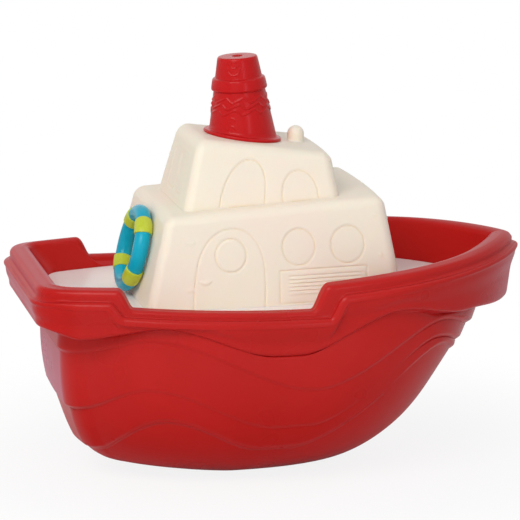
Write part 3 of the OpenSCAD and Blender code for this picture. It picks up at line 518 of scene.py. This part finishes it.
def shell_rows():
    rows = [np.stack([KX, SGN * KY, KZ], 1)]
    top = WZ[3] - EDGE_LOW
    for t in np.linspace(0, 1, BOTTOM_ROWS)[1:]:
        rows.append(hull_pt(mix(KZ, top, t**1.8)))
    for k in (2, 1, 0):
        low, high, depth = WZ[k + 1], WZ[k], wave_depth(k + 1)

        def layer(z):
            fade = np.clip((high - z) / (high - low), 0, 1)
            return hull_pt(z, depth * fade * ease((z - low + EDGE_LOW) / 3.6))

        rows += [layer(low + up) for up in WAVE_EDGE]
        shares = np.linspace(0, 1, STEP_ROWS)[1:]
        rows += [layer(mix(low + EDGE_TOP, high - EDGE_LOW, t)) for t in shares]
    z0 = WZ[0]
    rows.append(hull_pt(z0 - 0.5))
    for inset, up in BAND_FOOT:
        rows.append(rim_pt(band_n(z0 + up) - inset, z0 + up))
    across, down = lean_of(ridge_z, SLOPE_REACH)
    blunt = mix(BLUNT, BLUNT_END, AT_END)
    under, slip = FLANGE_Z - SHOULDER_DROP * down, SHOULDER_DROP * across
    for z in (mix(z0 + BAND_LOW, under, t) for t in np.linspace(0, 1, BAND_ROWS)[1:]):
        near = 1 - ease((under - z) / RIDGE_REACH)
        rows.append(rim_pt(band_n(z) + blunt * near * ease((z - z0 - BAND_LOW) / 6), z, slip * near))
    # The ridge is a soft shoulder along the sides and a bead at the ends
    for (i0, d0), (i1, d1) in zip(SHOULDER, BEADED):
        inset, drop = mix(i0, i1, AT_END), mix(d0, d1, AT_END)
        rows.append(rim_pt(RIDGE_N - inset, FLANGE_Z - drop * down, drop * across))
    rows = undulate(rows)
    # The inside
    z1 = z0 + SHELL_WALL
    rows.append(rim_pt(RIDGE_N - RIDGE_PROUD - SHELL_WALL, RIDGE_Z - RIDGE_T / 2 - 1.2))
    rows.append(rim_pt(band_n(z1) - SHELL_WALL, z1))
    rows.append(hull_pt(z1, -SHELL_WALL))
    for z in (84, 66, 46, 28, 16, 8):
        r = hull_pt(z, -SHELL_WALL)
        r[:, 2] = np.maximum(r[:, 2], KZ + SHELL_WALL)
        rows.append(r)
    rows.append(np.stack([0.98 * KX, 0.98 * SGN * KY, KZ + SHELL_WALL], 1))
    return rows


shell = skin("hull_shell_fine", shell_rows(), caps=(0, 0))
add_painted_reflection(shell)
finish_piece(shell, "hull", "hull_red", MAT_RED, "hull_shell", flat=65)


# ---------------------------------------------------------------- hull liner: coping and bulwark
def bead(inset, share):
    """A point between the crest's height (share 0) and the flange's (share 1)."""
    return rim_pt(RIDGE_N - inset, mix(RIM, FLANGE_Z, share))


# The coping's outer edge is less deep along the waist
LIP = mix(0.65, 1.0, raised(SX))
TIP_THICKER = 1.15


def crest(n_out, drop):
    """A point n_out outside the crest and drop below it, square to its slope."""
    across, down = lean_of(rim_z, SLOPE_REACH)
    return rim_pt(n_out, RIM - drop * down, drop * across)


def lip(inset, drop, more):
    """The coping's outer edge. more: how much further down at the tip of the bow, where it is rounder."""
    return crest(RIDGE_N - inset - 0.5 * (1 - raised(SX)), drop * LIP + more * AT_TIP)


def inner(n_in, drop):
    """The crest's inboard side, thicker at the tip of the bow."""
    return crest(-n_in * (1 + TIP_THICKER * AT_TIP), drop)


def liner_rows():
    outer = [bead(5.4, 1)]
    for side, end, share in ((3.6, 2.2, 1), (3.85, 2.75, 0.975), (4.0, 3.2, 0.935), (4.06, 3.7, 0.87),
                             (4.07, 4.07, 0.79), (4.08, 4.08, 0.7), (4.08, 4.08, 0.61)):
        outer.append(bead(mix(side, end, AT_END), share))
    for inset, drop, more in ((4.08, 4.2, 0.0), (4.15, 3.6, 0.3), (4.3, 3.0, 0.6), (4.55, 2.45, 0.8),
                              (4.85, 1.95, 0.9), (5.2, 1.5, 0.9), (5.65, 1.15, 0.75), (6.2, 0.9, 0.5),
                              (6.9, 0.7, 0.3)):
        outer.append(lip(inset, drop, more))
    outer += [crest(2.4, 0.46), crest(1.2, 0.2), crest(0.0, 0.0)]
    outer += [inner(n_in, drop) for n_in, drop in ((1.3, 0.2), (2.6, 0.85), (3.6, 2.0), (4.2, 4.0))]
    foot_z = DECK_Z + 0.2
    low = foot_pt(0, foot_z)
    wall = [mix(outer[-1], low, t) for t in np.linspace(0, 1, 8)[1:]]
    rows = spline(outer, [1, 1, 1, 1] + [2] * 14 + [3, 3, 3, 3, 2]) + wall
    ledge = DECK_Z - DECK_T - SEAL_T
    under = ledge - LINER_WALL + 0.2
    rows += [foot_pt(0, ledge), foot_pt(-LEDGE_W, ledge), foot_pt(-LEDGE_W, under),
             foot_pt(LINER_WALL, under), foot_pt(LINER_WALL, ledge + 1)]
    rows += [crest(-2.2, 4), crest(-0.8, 2.4), crest(2.2, 2.4), bead(5.6, 0.72)]
    return rows


liner = skin("hull_liner_fine", liner_rows(), looped=True)
add_painted_reflection(liner)
finish_piece(liner, "hull", "hull_red", MAT_RED, "hull_liner", flat=50)

# ---------------------------------------------------------------- deck
CABIN_WALL, COLLAR_H, COLLAR_W = 2.0, 2.0, 2.0


def deck_rows():
    rows = [foot_pt(-LIFT_GAP - 0.3, DECK_Z - DECK_T), foot_pt(-LIFT_GAP, DECK_Z - DECK_T + 0.3)]
    for inset, drop in ((0.0, 0.5), (0.1, 0.25), (0.3, 0.08), (0.6, 0.0), (3.0, 0.0), (8.0, 0.0)):
        rows.append(foot_pt(-LIFT_GAP - inset, DECK_Z - drop))
    return rows


deck = skin("deck_plate_fine", deck_rows(), caps=(0, 0))
finish_piece(deck, "hull", "cabin_cream", MAT_DECK_PAINTED_PINK, flat=40)

# ---------------------------------------------------------------- cabin mouldings
HOUSE_ROOF, WHEEL_ROOF = 176.5, 209.3
HOUSE_RISE, WHEEL_FALL = 3.3, 7.8
# foot, roof: heights at x = 0, with their slopes (_s); lean: degrees of the stern, fore and side walls;
# r: radius of the corners and the roof's edge; bow: how far the fore wall bows out
HOUSE = dict(aft=-92.0, fore=71.5, half=64.5, foot=DECK_Z, foot_s=0.0, roof=HOUSE_ROOF,
             roof_s=tand(HOUSE_RISE), lean=(14.5, 10.3, 8.0), r=6.0, bow=2.0)
WHEEL = dict(aft=-64.5, fore=34.5, half=44.0, foot=HOUSE_ROOF, foot_s=tand(HOUSE_RISE), roof=WHEEL_ROOF,
             roof_s=-tand(WHEEL_FALL), lean=(14.0, 10.0, 12.0), r=6.0, bow=2.0)


def foot_of(b, x):
    return b["foot"] + b["foot_s"] * x


def roof_of(b, x):
    return b["roof"] + b["roof_s"] * x


def walls_at(b, t):
    """The ends' x and the half widths there, aft and fore, at share t of the height."""
    h_a = t * (roof_of(b, b["aft"]) - foot_of(b, b["aft"]))
    h_f = t * (roof_of(b, b["fore"]) - foot_of(b, b["fore"]))
    la, lf, ls = b["lean"]
    aft, fore = b["aft"] + h_a * tand(la), b["fore"] - h_f * tand(lf)
    return aft, fore, b["half"] - h_a * tand(ls), b["half"] - h_f * tand(ls)


def box_row(b, t, inset, gap=0.8, arc=14):
    """One level of a moulding at share t of its height, moved in by inset.
    gap: spacing of the points; arc: faces round a corner."""
    aft, fore, wa, wf = walls_at(b, t)
    aft, fore, wa, wf = aft + inset, fore - inset, wa - inset, wf - inset
    r = max(1.0, b["r"] - inset)
    n_end = int(round(b["half"] / gap))
    n_side = int(round((b["fore"] - b["aft"]) / gap))
    a = np.pi / 2 * np.arange(arc + 1) / arc
    ends = (np.arange(n_end) + 0.5) / n_end
    sides = np.arange(1, n_side) / n_side

    def bowed(y):
        return b["bow"] * (1 - np.minimum(1, y / wf) ** 2)

    pts = [
        np.stack([np.full(n_end, aft), (wa - r) * ends], 1),
        np.stack([aft + r - r * np.cos(a), wa - r + r * np.sin(a)], 1),
        np.stack([mix(aft + r, fore - r, sides), mix(wa, wf, sides)], 1),
        np.stack([fore - r + r * np.sin(a) + bowed(wf - r + r * np.cos(a)), wf - r + r * np.cos(a)], 1),
        np.stack([fore + bowed((wf - r) * ends[::-1]), (wf - r) * ends[::-1]], 1),
    ]
    p = np.concatenate(pts)
    full = np.concatenate([p, (p * [1, -1])[::-1]])
    z = mix(foot_of(b, full[:, 0]), roof_of(b, full[:, 0]), t)
    return np.column_stack([full, z])


def groove(d, width, depth):
    """A soft engraved line: d is the distance from its middle."""
    return -depth * (1 - ease(np.abs(d) / width))


def sd_box(u, v, u0, u1, v0, v1, r=0.0):
    """Signed distance from a rounded rectangle, less than 0 inside."""
    qx = np.abs(u - (u0 + u1) / 2) - (u1 - u0) / 2 + r
    qy = np.abs(v - (v0 + v1) / 2) - (v1 - v0) / 2 + r
    return np.hypot(np.maximum(qx, 0), np.maximum(qy, 0)) + np.minimum(np.maximum(qx, qy), 0) - r


def sd_arch(u, v, mid, half, v0, v1, lean, power):
    """About the distance from an arch whose half width falls as the square root of 1 - up^power."""
    up = np.clip((v - v0) / (v1 - v0), 0, 2)
    off = (u - mid - lean * up) / half
    f = off**2 + up**power - 1
    grad_v = power * up ** (power - 1) / (v1 - v0) - 2 * off * lean / (half * (v1 - v0))
    return f / np.maximum(np.hypot(2 * off / half, grad_v), 1e-3) + 9 * (v < v0)


def rivet(du, dv):
    return 0.35 * ease(1.6 - np.hypot(du, dv))


LINE_W, GLASS_D, SUNK = 0.9, 0.65, 0.25
HINGES = (127.5, 156.5)
SLATS = (134.2, 131.8, 129.5, 127.2, 124.8, 122.3)
SIDE_RIVETS = ((53.2, 169.1), (56.5, 144.4), (59.6, 122.0))
END_RIVETS = ((50.5, 165.4), (53.0, 144.8), (55.5, 124.0))
# x and z of the middle, then the half sizes
PORTHOLES = ((4.4, 151.1, 10.2, 11.2), (35.6, 151.4, 10.6, 11.5))


def house_side(x, z):
    """Relief on the deckhouse's side walls, in millimetres outwards."""
    d = np.zeros_like(x)
    door = sd_arch(x, z, -40.5, 22.5, 112.0, 164.0, 3.0, 3.6)
    d += groove(door, LINE_W, 0.55)
    port = np.hypot((x + 38.5) / 9.7, (z - 147.6) / 10.2) * 10.0 - 10.0
    d += groove(port, LINE_W, GLASS_D) + 0.3 * ease(-port / 2 + 0.3)
    handle = np.maximum(np.hypot(x + 55.0, (z - 133.3) * 1.4) - 3.9, z - 133.3)
    d += 0.6 * ease(-handle / 0.7 + 0.5) - SUNK * ease(-np.abs(handle) / 0.6 + 1)
    for zc in HINGES:
        hinge = sd_box(x, z, -67.5, -61.0, zc - 1.1, zc + 1.1, 0.9)
        d += 0.3 * ease(-hinge / 0.7 + 0.5)
    for xc, zc, rx, rz in PORTHOLES:
        p = (np.hypot((x - xc) / rx, (z - zc) / rz) - 1) * rx
        d += groove(p, LINE_W, GLASS_D) - SUNK * ease(-p / 1.5)
    zt = z - 0.018 * (x - 20)
    grille = sd_box(x, zt, -8.0, 47.5, 117.0, 137.3, 0.6)
    d += groove(grille, 0.8, 0.5)
    span = ease((x + 3.5) / 2) * ease((45.0 - x) / 2)
    for zc in SLATS:
        proud = ease(1 - np.abs(zt - zc - 0.55) / 0.75)
        sunk = ease(1 - np.abs(zt - zc + 0.45) / 0.7)
        d += 0.35 * span * (proud - sunk)
    for xc, zc in SIDE_RIVETS:
        d += rivet(x - xc, z - zc)
    return d


def house_end(y, z):
    """Relief on the deckhouse's stern and fore walls."""
    d = np.zeros_like(y)
    for s in (-1, 1):
        for yc, zc in END_RIVETS:
            d += rivet(y - s * yc, z - zc)
    return d


# Middle x, half width, height and lean of each arched window
ARCHES = ((-28.1, 14.2, 28.0, 5.6), (9.5, 11.4, 18.7, -1.5))


def wheel_side(x, z):
    """Relief on the wheelhouse's side walls: two arched windows and a line at the foot."""
    up = z - foot_of(WHEEL, x)
    d = np.zeros_like(x)
    for mid, half, top, lean in ARCHES:
        a = sd_arch(x, up, mid, half, 0.6, top, lean, 2.3)
        d += groove(a, LINE_W, GLASS_D) - SUNK * ease(-a / 2.0)
    return d - 0.3 * (1 - ease(up / 1.6))


def wheel_end(y, z):
    """Relief on the wheelhouse's stern and fore walls: a pair of windows."""
    d = np.zeros_like(y)
    for s in (-1, 1):
        w = sd_box(s * y, z, 1.9, 20.2, 180.0, 203.5, 3.0)
        d += groove(w, LINE_W, 0.6) - SUNK * ease(-w / 2.0)
    return d


def roof_edge(b, inset, n):
    """Levels of a rounded roof edge, moved in and down by inset."""
    h = roof_of(b, 0) - foot_of(b, 0)
    r = b["r"] - inset
    return [box_row(b, 1 - (inset + r - r * math.sin(a)) / h, inset + r - r * math.cos(a))
            for a in np.radians(np.linspace(0, 90, n))]


def moulding(name, b, side_relief, end_relief, body, node_name):
    """A drafted cabin moulding with engraved walls, a rounded roof edge and an open underside."""
    h = roof_of(b, 0) - foot_of(b, 0)
    walls = [0.0, 0.3, 0.7, 1.2] + list(np.arange(2.0, h - b["r"], 0.75))
    rows = [box_row(b, up / h, 0) for up in walls]
    lines = []
    x_mid = (b["aft"] + b["fore"]) / 2
    for up, row in zip(walls, rows):
        x, y, z = row.T
        aft, fore, wide_aft, wide_fore = walls_at(b, up / h)
        wide = mix(wide_aft, wide_fore, (x - aft) / (fore - aft))
        on_side = ease((np.abs(y) - wide + 2.0) / 1.5)
        on_end = ease((np.maximum(aft - x, x - fore) + 2.0) / 1.5) * (1 - on_side)
        ds = side_relief(x, z) * on_side
        de = end_relief(y, z) * on_end
        row[:, 1] += ds * np.sign(y)
        row[:, 0] += de * np.sign(x - x_mid)
        # Mask of the painted shade in the grooves: where the relief sinks more than 0.3 mm
        lines.append(np.clip((-ds - de - 0.3) / 0.35, 0, 1))
    rows += roof_edge(b, 0, 13)
    inside = [box_row(b, t, CABIN_WALL) for t in (0.0, 0.5)] + roof_edge(b, CABIN_WALL, 6)
    ob = skin(name, inside[::-1] + rows, caps=(1, 1))
    line = np.zeros((len(inside) + len(rows), len(rows[0])))
    line[len(inside):len(inside) + len(lines)] = lines
    ob.data.attributes.new("line", "FLOAT", "POINT").data.foreach_set("value", line.ravel())
    finish_piece(ob, body, "cabin_cream", MAT_CREAM, node_name, flat=50)


def rim_collar(name, b, body, mat):
    """The low collar that locates a moulding."""
    h = roof_of(b, 0) - foot_of(b, 0)
    out = CABIN_WALL + LIFT_GAP
    rows = [box_row(b, up / h, out + i, gap=3.0, arc=6) for up, i in (
        (-0.5, 0), (COLLAR_H - 0.5, 0), (COLLAR_H - 0.15, 0.15), (COLLAR_H, 0.5),
        (COLLAR_H, COLLAR_W - 0.5), (COLLAR_H - 0.15, COLLAR_W - 0.15), (COLLAR_H - 0.5, COLLAR_W),
        (-0.5, COLLAR_W))]
    ob = skin(name, rows, looped=True)
    return finish_piece(ob, body, "cabin_cream", mat, flat=50)


moulding("deckhouse_fine", HOUSE, house_side, house_end, "deckhouse", "deckhouse")
moulding("wheelhouse_fine", WHEEL, wheel_side, wheel_end, "wheelhouse", "wheelhouse")
deck_collar = rim_collar("deck_collar_fine", HOUSE, "hull", MAT_DECK_PAINTED_PINK)
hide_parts("deck")
rim_collar("roof_collar_fine", WHEEL, "deckhouse", MAT_CREAM)

# ---------------------------------------------------------------- funnel
FUNNEL_X, FUNNEL_H, FUNNEL_LEAN = -18.6, 51.0, 3.4
FOOT_R, TOP_R, FLANGE_R = 21.5, 12.5, 24.6
BEAD_LOW, BEAD_TOP, BEAD_OUT = FUNNEL_H - 20.8, FUNNEL_H - 13.2, 1.7
ROOF_TILT = math.radians(FUNNEL_LEAN + WHEEL_FALL)
AXIS = (Matrix.Translation((FUNNEL_X, 0, roof_of(WHEEL, FUNNEL_X)))
        @ Matrix.Rotation(-math.radians(FUNNEL_LEAN), 4, "Y"))


def cone_r(z):
    return mix(FOOT_R, TOP_R, z / FUNNEL_H)


def lathe(rings, matrix, n):
    """rings: functions of the angles round the axis giving x, y and z; n: points round."""
    th = 2 * np.pi * np.arange(n) / n
    m = np.array(matrix)
    return [(np.column_stack([*f(th), np.ones(n)]) @ m.T)[:, :3] for f in rings]


def turned(r, z):
    return lambda th: (r * np.cos(th), r * np.sin(th), z + 0 * th)


def on_roof(r, up):
    """A circle round the axis' foot, square to the wheelhouse's sloping roof."""
    c, s = math.cos(ROOF_TILT), math.sin(ROOF_TILT)
    return lambda th: (r * np.cos(th) * c + up * s, r * np.sin(th), up * c - r * np.cos(th) * s)


def above_roof(th, out, up):
    """The height on the axis at which the cone, grown by out, stands up above the sloping roof."""
    lean = np.cos(th) * math.tan(ROOF_TILT)
    return (up / math.cos(ROOF_TILT) - (FOOT_R + out) * lean) / (1 - (FOOT_R - TOP_R) / FUNNEL_H * lean)


def ridge(d, width, height):
    return height * (1 - ease(np.abs(d) / width))


def round_from(th, degrees, z):
    """The way round the funnel from an angle, in millimetres."""
    return ((th - math.radians(degrees) + np.pi) % (2 * np.pi) - np.pi) * cone_r(z)


def funnel_relief(th, z):
    """Raised ornament: three lines of waves, and a small scroll to each side."""
    down = FUNNEL_H - z + 0 * th
    turn = 9 * th
    d = np.zeros_like(down)
    for mid, phase, height in ((25.9, 0.9, 0.45), (29.6, 2.6, 0.7), (33.2, 4.0, 0.6)):
        wave = mid + 1.45 * np.sin(turn + phase + 0.45 * np.sin(turn + phase))
        d += ridge(down - wave, 1.15, height) * ease((down - 21.6) / 1.5)
    for s in (-1, 1):
        arc = round_from(s * th, 113.2, z)
        d += ridge(np.hypot(arc, down - 3.9) - 2.1, 0.55, 0.32)
        bowl = np.hypot(arc, down - 6.3)
        d += ridge(bowl - 4.1, 0.6, 0.36) * ease((down - 4.6) / 1.6)
        arc = round_from(s * th, 119.5, z)
        for low in (38.6, 43.6):
            hood = np.hypot(arc, down - low)
            d += ridge(hood - 2.2, 0.6, 0.35) * ease((low - down) / 1.2 + 0.5)
    return d


def funnel_rows():
    rings = [on_roof(r, up) for r, up in (
        (FLANGE_R - 1.6, 0.0), (FLANGE_R - 0.5, 0.0), (FLANGE_R - 0.15, 0.15), (FLANGE_R, 0.5),
        (FLANGE_R, 1.3), (FLANGE_R - 0.15, 1.8), (FLANGE_R - 0.5, 2.1), (FLANGE_R - 1.1, 2.2))]

    def foot(out, up):
        def f(th):
            z = above_roof(th, out, up)
            r = cone_r(z) + out
            return r * np.cos(th), r * np.sin(th), z
        return f

    rings += [foot(o, u) for o, u in ((1.3, 2.2), (0.8, 2.4), (0.45, 2.8), (0.2, 3.4), (0.05, 4.2))]

    def wall(t, z_to):
        def f(th):
            z = mix(above_roof(th, 0.0, 5.0), z_to, t)
            r = cone_r(z) + funnel_relief(th, z)
            return r * np.cos(th), r * np.sin(th), z
        return f

    rings += [wall(t, BEAD_LOW - 0.3) for t in np.linspace(0, 1, 70)]
    out = BEAD_OUT
    for r, z in ((0.35, -0.05), (out - 0.9, 0.05), (out - 0.4, 0.3), (out - 0.08, 0.85), (out, 1.6),
                 (out, 3.8), (out, 6.0), (out - 0.08, 6.75), (out - 0.4, 7.3), (out - 0.9, 7.55),
                 (0.35, 7.62)):
        rings.append(turned(cone_r(BEAD_LOW + z) + r, BEAD_LOW + z))

    def upper(z):
        def f(th):
            r = cone_r(z) + funnel_relief(th, z)
            return r * np.cos(th), r * np.sin(th), z + 0 * th
        return f

    rings += [upper(z) for z in np.arange(BEAD_TOP + 0.3, FUNNEL_H - 1.3, 0.3)]
    for r, dz in ((0.12, 1.1), (0.0, 0.75), (-0.18, 0.4), (-0.5, 0.13), (-0.95, 0.02), (-1.6, 0.0),
                  (-6.0, 0.0)):
        rings.append(turned(TOP_R + r, FUNNEL_H - dz))
    for r, z in ((4.1, 0.0), (3.4, -0.12), (3.08, -0.5), (3.0, -1.1), (3.0, -1.8), (10.7, -1.9)):
        rings.append(turned(r, FUNNEL_H + z))
    for r, z in ((12.2, 0.0), (12.2, -8.8), (12.4, -9.0), (13.8, -9.0), (14.0, -8.7), (14.0, -2.0)):
        rings.append(turned(r, z))
    rings.append(on_roof(14.0, 0.0))
    return lathe(rings, AXIS, 288)


funnel = skin("funnel_fine", funnel_rows(), looped=True)
finish_piece(funnel, "funnel", "funnel_red", MAT_FUNNEL, "funnel", flat=60)

# ---------------------------------------------------------------- roof lamp
LAMP_X, LAMP_R, LAMP_H = 16.0, 5.3, 10.0


def lamp_rows():
    def ring(r, up, tilt):
        return lambda th: (r * np.cos(th), r * np.sin(th), up - tilt * tand(WHEEL_FALL) * r * np.cos(th))

    prof = [(0.05, 0.0, 1.0), (LAMP_R + 0.6, 0.0, 1.0), (LAMP_R + 0.3, 0.25, 1.0),
            (LAMP_R + 0.1, 0.7, 1.0), (LAMP_R, 1.3, 0.8)]
    body_top = LAMP_H - LAMP_R
    prof += [(LAMP_R, mix(1.3, body_top, k / 6), 0.8 * (1 - k / 6)) for k in range(1, 7)]
    prof += [(max(0.05, LAMP_R * math.cos(a)), body_top + LAMP_R * math.sin(a), 0.0)
             for a in np.radians(np.linspace(6, 90, 15))]
    return lathe([ring(*p) for p in prof], Matrix.Translation((LAMP_X, 0, roof_of(WHEEL, LAMP_X))), 72)


lamp = skin("roof_lamp_fine", lamp_rows(), caps=(0, 0))
finish_piece(lamp, "wheelhouse", "cabin_cream", MAT_CREAM, "roof_lamp", flat=60)

# ---------------------------------------------------------------- life ring and its bands
RING_R, TUBE_R, PROUD = 22.75, 5.0, 0.8
RING_Y, RING_UP = -8.5, 28.5
BAND_TURNS, BAND_HALF = (53, 135, 225, -53), 12.0
TUBE_N, RING_N = 56, 160
AT_RING = (Matrix.Translation((HOUSE["aft"], 0, DECK_Z))
           @ Matrix.Rotation(math.radians(HOUSE["lean"][0]), 4, "Y")
           @ Matrix.Translation((-TUBE_R - PROUD - LIFT_GAP, RING_Y, RING_UP))
           @ Matrix.Rotation(math.pi / 2, 4, "Y"))
ROUND_TUBE = 2 * np.pi * np.arange(TUBE_N) / TUBE_N


def tube_row(th, r):
    """A row round a tube of radius r, at the angles th round the ring."""
    ph = ROUND_TUBE
    ring = RING_R + r * np.cos(ph)
    pts = np.stack([ring * np.cos(th), ring * np.sin(th), r * np.sin(ph), np.ones_like(ph)], -1)
    return (pts @ np.array(AT_RING).T)[:, :3]


def ring_rows():
    return [tube_row(th, TUBE_R - 0.05 + 0.05 * np.sin(3 * th))
            for th in 2 * np.pi * np.arange(RING_N) / RING_N]


ring = skin("life_ring_fine", ring_rows(), looped=True)
finish_piece(ring, "life_ring", "ring_blue", MAT_BLUE, "life_ring")


def band_rows(k):
    """Band k: across its width (-1 to 1) its height is a share of PROUD; its edges sway a little."""
    mid, half = math.radians(BAND_TURNS[k - 1]), math.radians(BAND_HALF)
    sway = half * (1 + 0.05 * np.sin(2 * ROUND_TUBE + k))
    prof = [(-1.0, 0.0), (-0.995, 0.35), (-0.97, 0.62), (-0.9, 0.8), (-0.75, 0.9), (-0.4, 0.97), (0.0, 1.0)]
    prof += [(-a, up) for a, up in prof[-2::-1]]
    rows = [tube_row(mid + sway * a, TUBE_R + PROUD * up) for a, up in prof]
    return rows + [tube_row(mid + sway * a, TUBE_R - 0.2) for a in (1.0, -1.0)]


for k in (1, 2, 3, 4):
    band = skin(f"ring_band_{k}_fine", band_rows(k), looped=True)
    finish_piece(band, "life_ring", "band_lime", MAT_LIME, f"ring_band_{k}", flat=70)

# ---------------------------------------------------------------- pieces that keep their solids
for name, mat in (("deck_seal", MAT_RUBBER), ("deck_screws", MAT_SCREW), ("cover_screws", MAT_SCREW),
                  ("keel_ballast", MAT_BAR), ("ballast_cover", MAT_COVER), ("ring_peg", MAT_CREAM)):
    paint_node(name, mat)


# ---------------------------------------------------------------- studio
def largest(nt, *outputs):
    """The largest of several outputs."""
    found = outputs[0]
    for other in outputs[1:]:
        both = node(nt, "ShaderNodeMath", operation="MAXIMUM")
        nt.links.new(found, both.inputs[0])
        nt.links.new(other, both.inputs[1])
        found = both.outputs[0]
    return found


def times(nt, first, second):
    """The product of an output and another output or a number."""
    both = node(nt, "ShaderNodeMath", operation="MULTIPLY")
    nt.links.new(first, both.inputs[0])
    if isinstance(second, float):
        both.inputs[1].default_value = second
    else:
        nt.links.new(second, both.inputs[1])
    return both.outputs[0]


def shader_mix(nt, share, first, second):
    pick = node(nt, "ShaderNodeMixShader")
    for i, output in enumerate((share, first.outputs[0], second.outputs[0])):
        nt.links.new(output, pick.inputs[i])
    return pick.outputs[0]


WHITE = (1, 1, 1, 1)
WORLD_FILL = 0.42
world = bpy.data.worlds.new("studio")
bpy.context.scene.world = world
world.use_nodes = True
sky = world.node_tree
sky.nodes.clear()
# The dim fill lights the boat; the camera, gloss and glass see plain white
ray = node(sky, "ShaderNodeLightPath").outputs
seen = largest(sky, ray["Is Camera Ray"], ray["Is Glossy Ray"], ray["Is Transmission Ray"])
fill = node(sky, "ShaderNodeBackground", Color=WHITE, Strength=WORLD_FILL)
plain = node(sky, "ShaderNodeBackground", Color=WHITE, Strength=1.0)
sky_out = node(sky, "ShaderNodeOutputWorld")
sky.links.new(shader_mix(sky, seen, fill, plain), sky_out.inputs[0])

FLOOR_R, FLOOR_N, FLOOR_Z = 6.0, 96, -0.0002
floor_turns = [2 * math.pi * i / FLOOR_N for i in range(FLOOR_N)]
floor_mesh = bpy.data.meshes.new("floor")
floor_mesh.from_pydata([(FLOOR_R * math.cos(a), FLOOR_R * math.sin(a), FLOOR_Z) for a in floor_turns],
                       [], [list(range(FLOOR_N))])
floor = bpy.data.objects.new("floor", floor_mesh)
bpy.context.scene.collection.objects.link(floor)

# The camera sees nearly plain white, with a share of the true shade close to the boat; the boat's gloss
# sees less of the white, and its light comes from the true floor
floor_mat, tree, matt = new_mat("floor_white")
matt.inputs["Base Color"].default_value = (0.93, 0.93, 0.93, 1)
matt.inputs["Roughness"].default_value = 0.9
matt.inputs["Specular IOR Level"].default_value = 0.1
place = node(tree, "ShaderNodeTexCoord")
far = node(tree, "ShaderNodeVectorMath", operation="LENGTH")
tree.links.new(place.outputs["Object"], far.inputs[0])
whiten = node(tree, "ShaderNodeMapRange", interpolation_type="SMOOTHSTEP")
for socket, value in (("From Min", 0.12), ("From Max", 0.34), ("To Min", 0.86), ("To Max", 1.0)):
    whiten.inputs[socket].default_value = value
tree.links.new(far.outputs["Value"], whiten.inputs["Value"])
ray = node(tree, "ShaderNodeLightPath").outputs
mirrored = times(tree, largest(tree, ray["Is Glossy Ray"], ray["Is Transmission Ray"]), 0.12)
seen = largest(tree, ray["Is Camera Ray"], mirrored)
white = node(tree, "ShaderNodeEmission", Color=WHITE, Strength=1.0)
share = times(tree, whiten.outputs["Result"], seen)
surface = tree.nodes["Material Output"].inputs["Surface"]
tree.links.new(shader_mix(tree, share, matt, white), surface)
floor_mesh.materials.append(floor_mat)


def area(name, loc, target, size, power, color=(1, 1, 1), glossy=True):
    lamp_data = bpy.data.lights.new(name, "AREA")
    lamp_data.shape = "RECTANGLE"
    lamp_data.size, lamp_data.size_y = size
    lamp_data.energy = power
    lamp_data.color = color
    ob = bpy.data.objects.new(name, lamp_data)
    bpy.context.scene.collection.objects.link(ob)
    ob.location = loc
    ob.rotation_mode = "QUATERNION"
    ob.rotation_quaternion = (Vector(target) - Vector(loc)).to_track_quat("-Z", "Y")
    ob.visible_glossy = glossy


HULL_MID, CABIN_MID = (0, 0, 0.1), (0, 0, 0.2)
COOL, WARM, PALE_BLUE = (0.8, 0.86, 1.0), (1.0, 0.9, 0.78), (0.86, 0.84, 1.0)
area("key", (-0.95, -1.3, 1.5), HULL_MID, (1.4, 0.7), 19.4)
area("front", (-1.0, -1.9, 0.5), HULL_MID, (1.2, 0.8), 4.5, glossy=False)
area("top", (0.55, -0.1, 1.6), HULL_MID, (1.4, 1.2), 2.2, COOL)
area("left", (-1.7, 0.1, 0.6), HULL_MID, (1.0, 1.0), 2.2, WARM, glossy=False)
area("strip", (0.56, -1.95, 0.42), CABIN_MID, (0.24, 1.0), 3.0, PALE_BLUE)

# ---------------------------------------------------------------- camera
AZ, EL, FOCAL_PX, DIST = math.radians(-12.5), math.radians(12.2), 3300.0, 2.1
PHOTO_PX = 520.0
TARGET = Vector((-0.007, 0.0, 0.131))
back = Vector((math.sin(AZ) * math.cos(EL), -math.cos(AZ) * math.cos(EL), math.sin(EL)))
cam = bpy.data.cameras.new("camera")
cam.sensor_width = 36.0
cam.lens = FOCAL_PX / PHOTO_PX * cam.sensor_width
cam.clip_start, cam.clip_end = 0.05, 50.0
cam_ob = bpy.data.objects.new("camera", cam)
bpy.context.scene.collection.objects.link(cam_ob)
cam_ob.location = TARGET + DIST * back
cam_ob.rotation_mode = "QUATERNION"
cam_ob.rotation_quaternion = (-back).to_track_quat("-Z", "Y")
bpy.context.scene.camera = cam_ob

bpy.context.scene.view_settings.view_transform = "Standard"
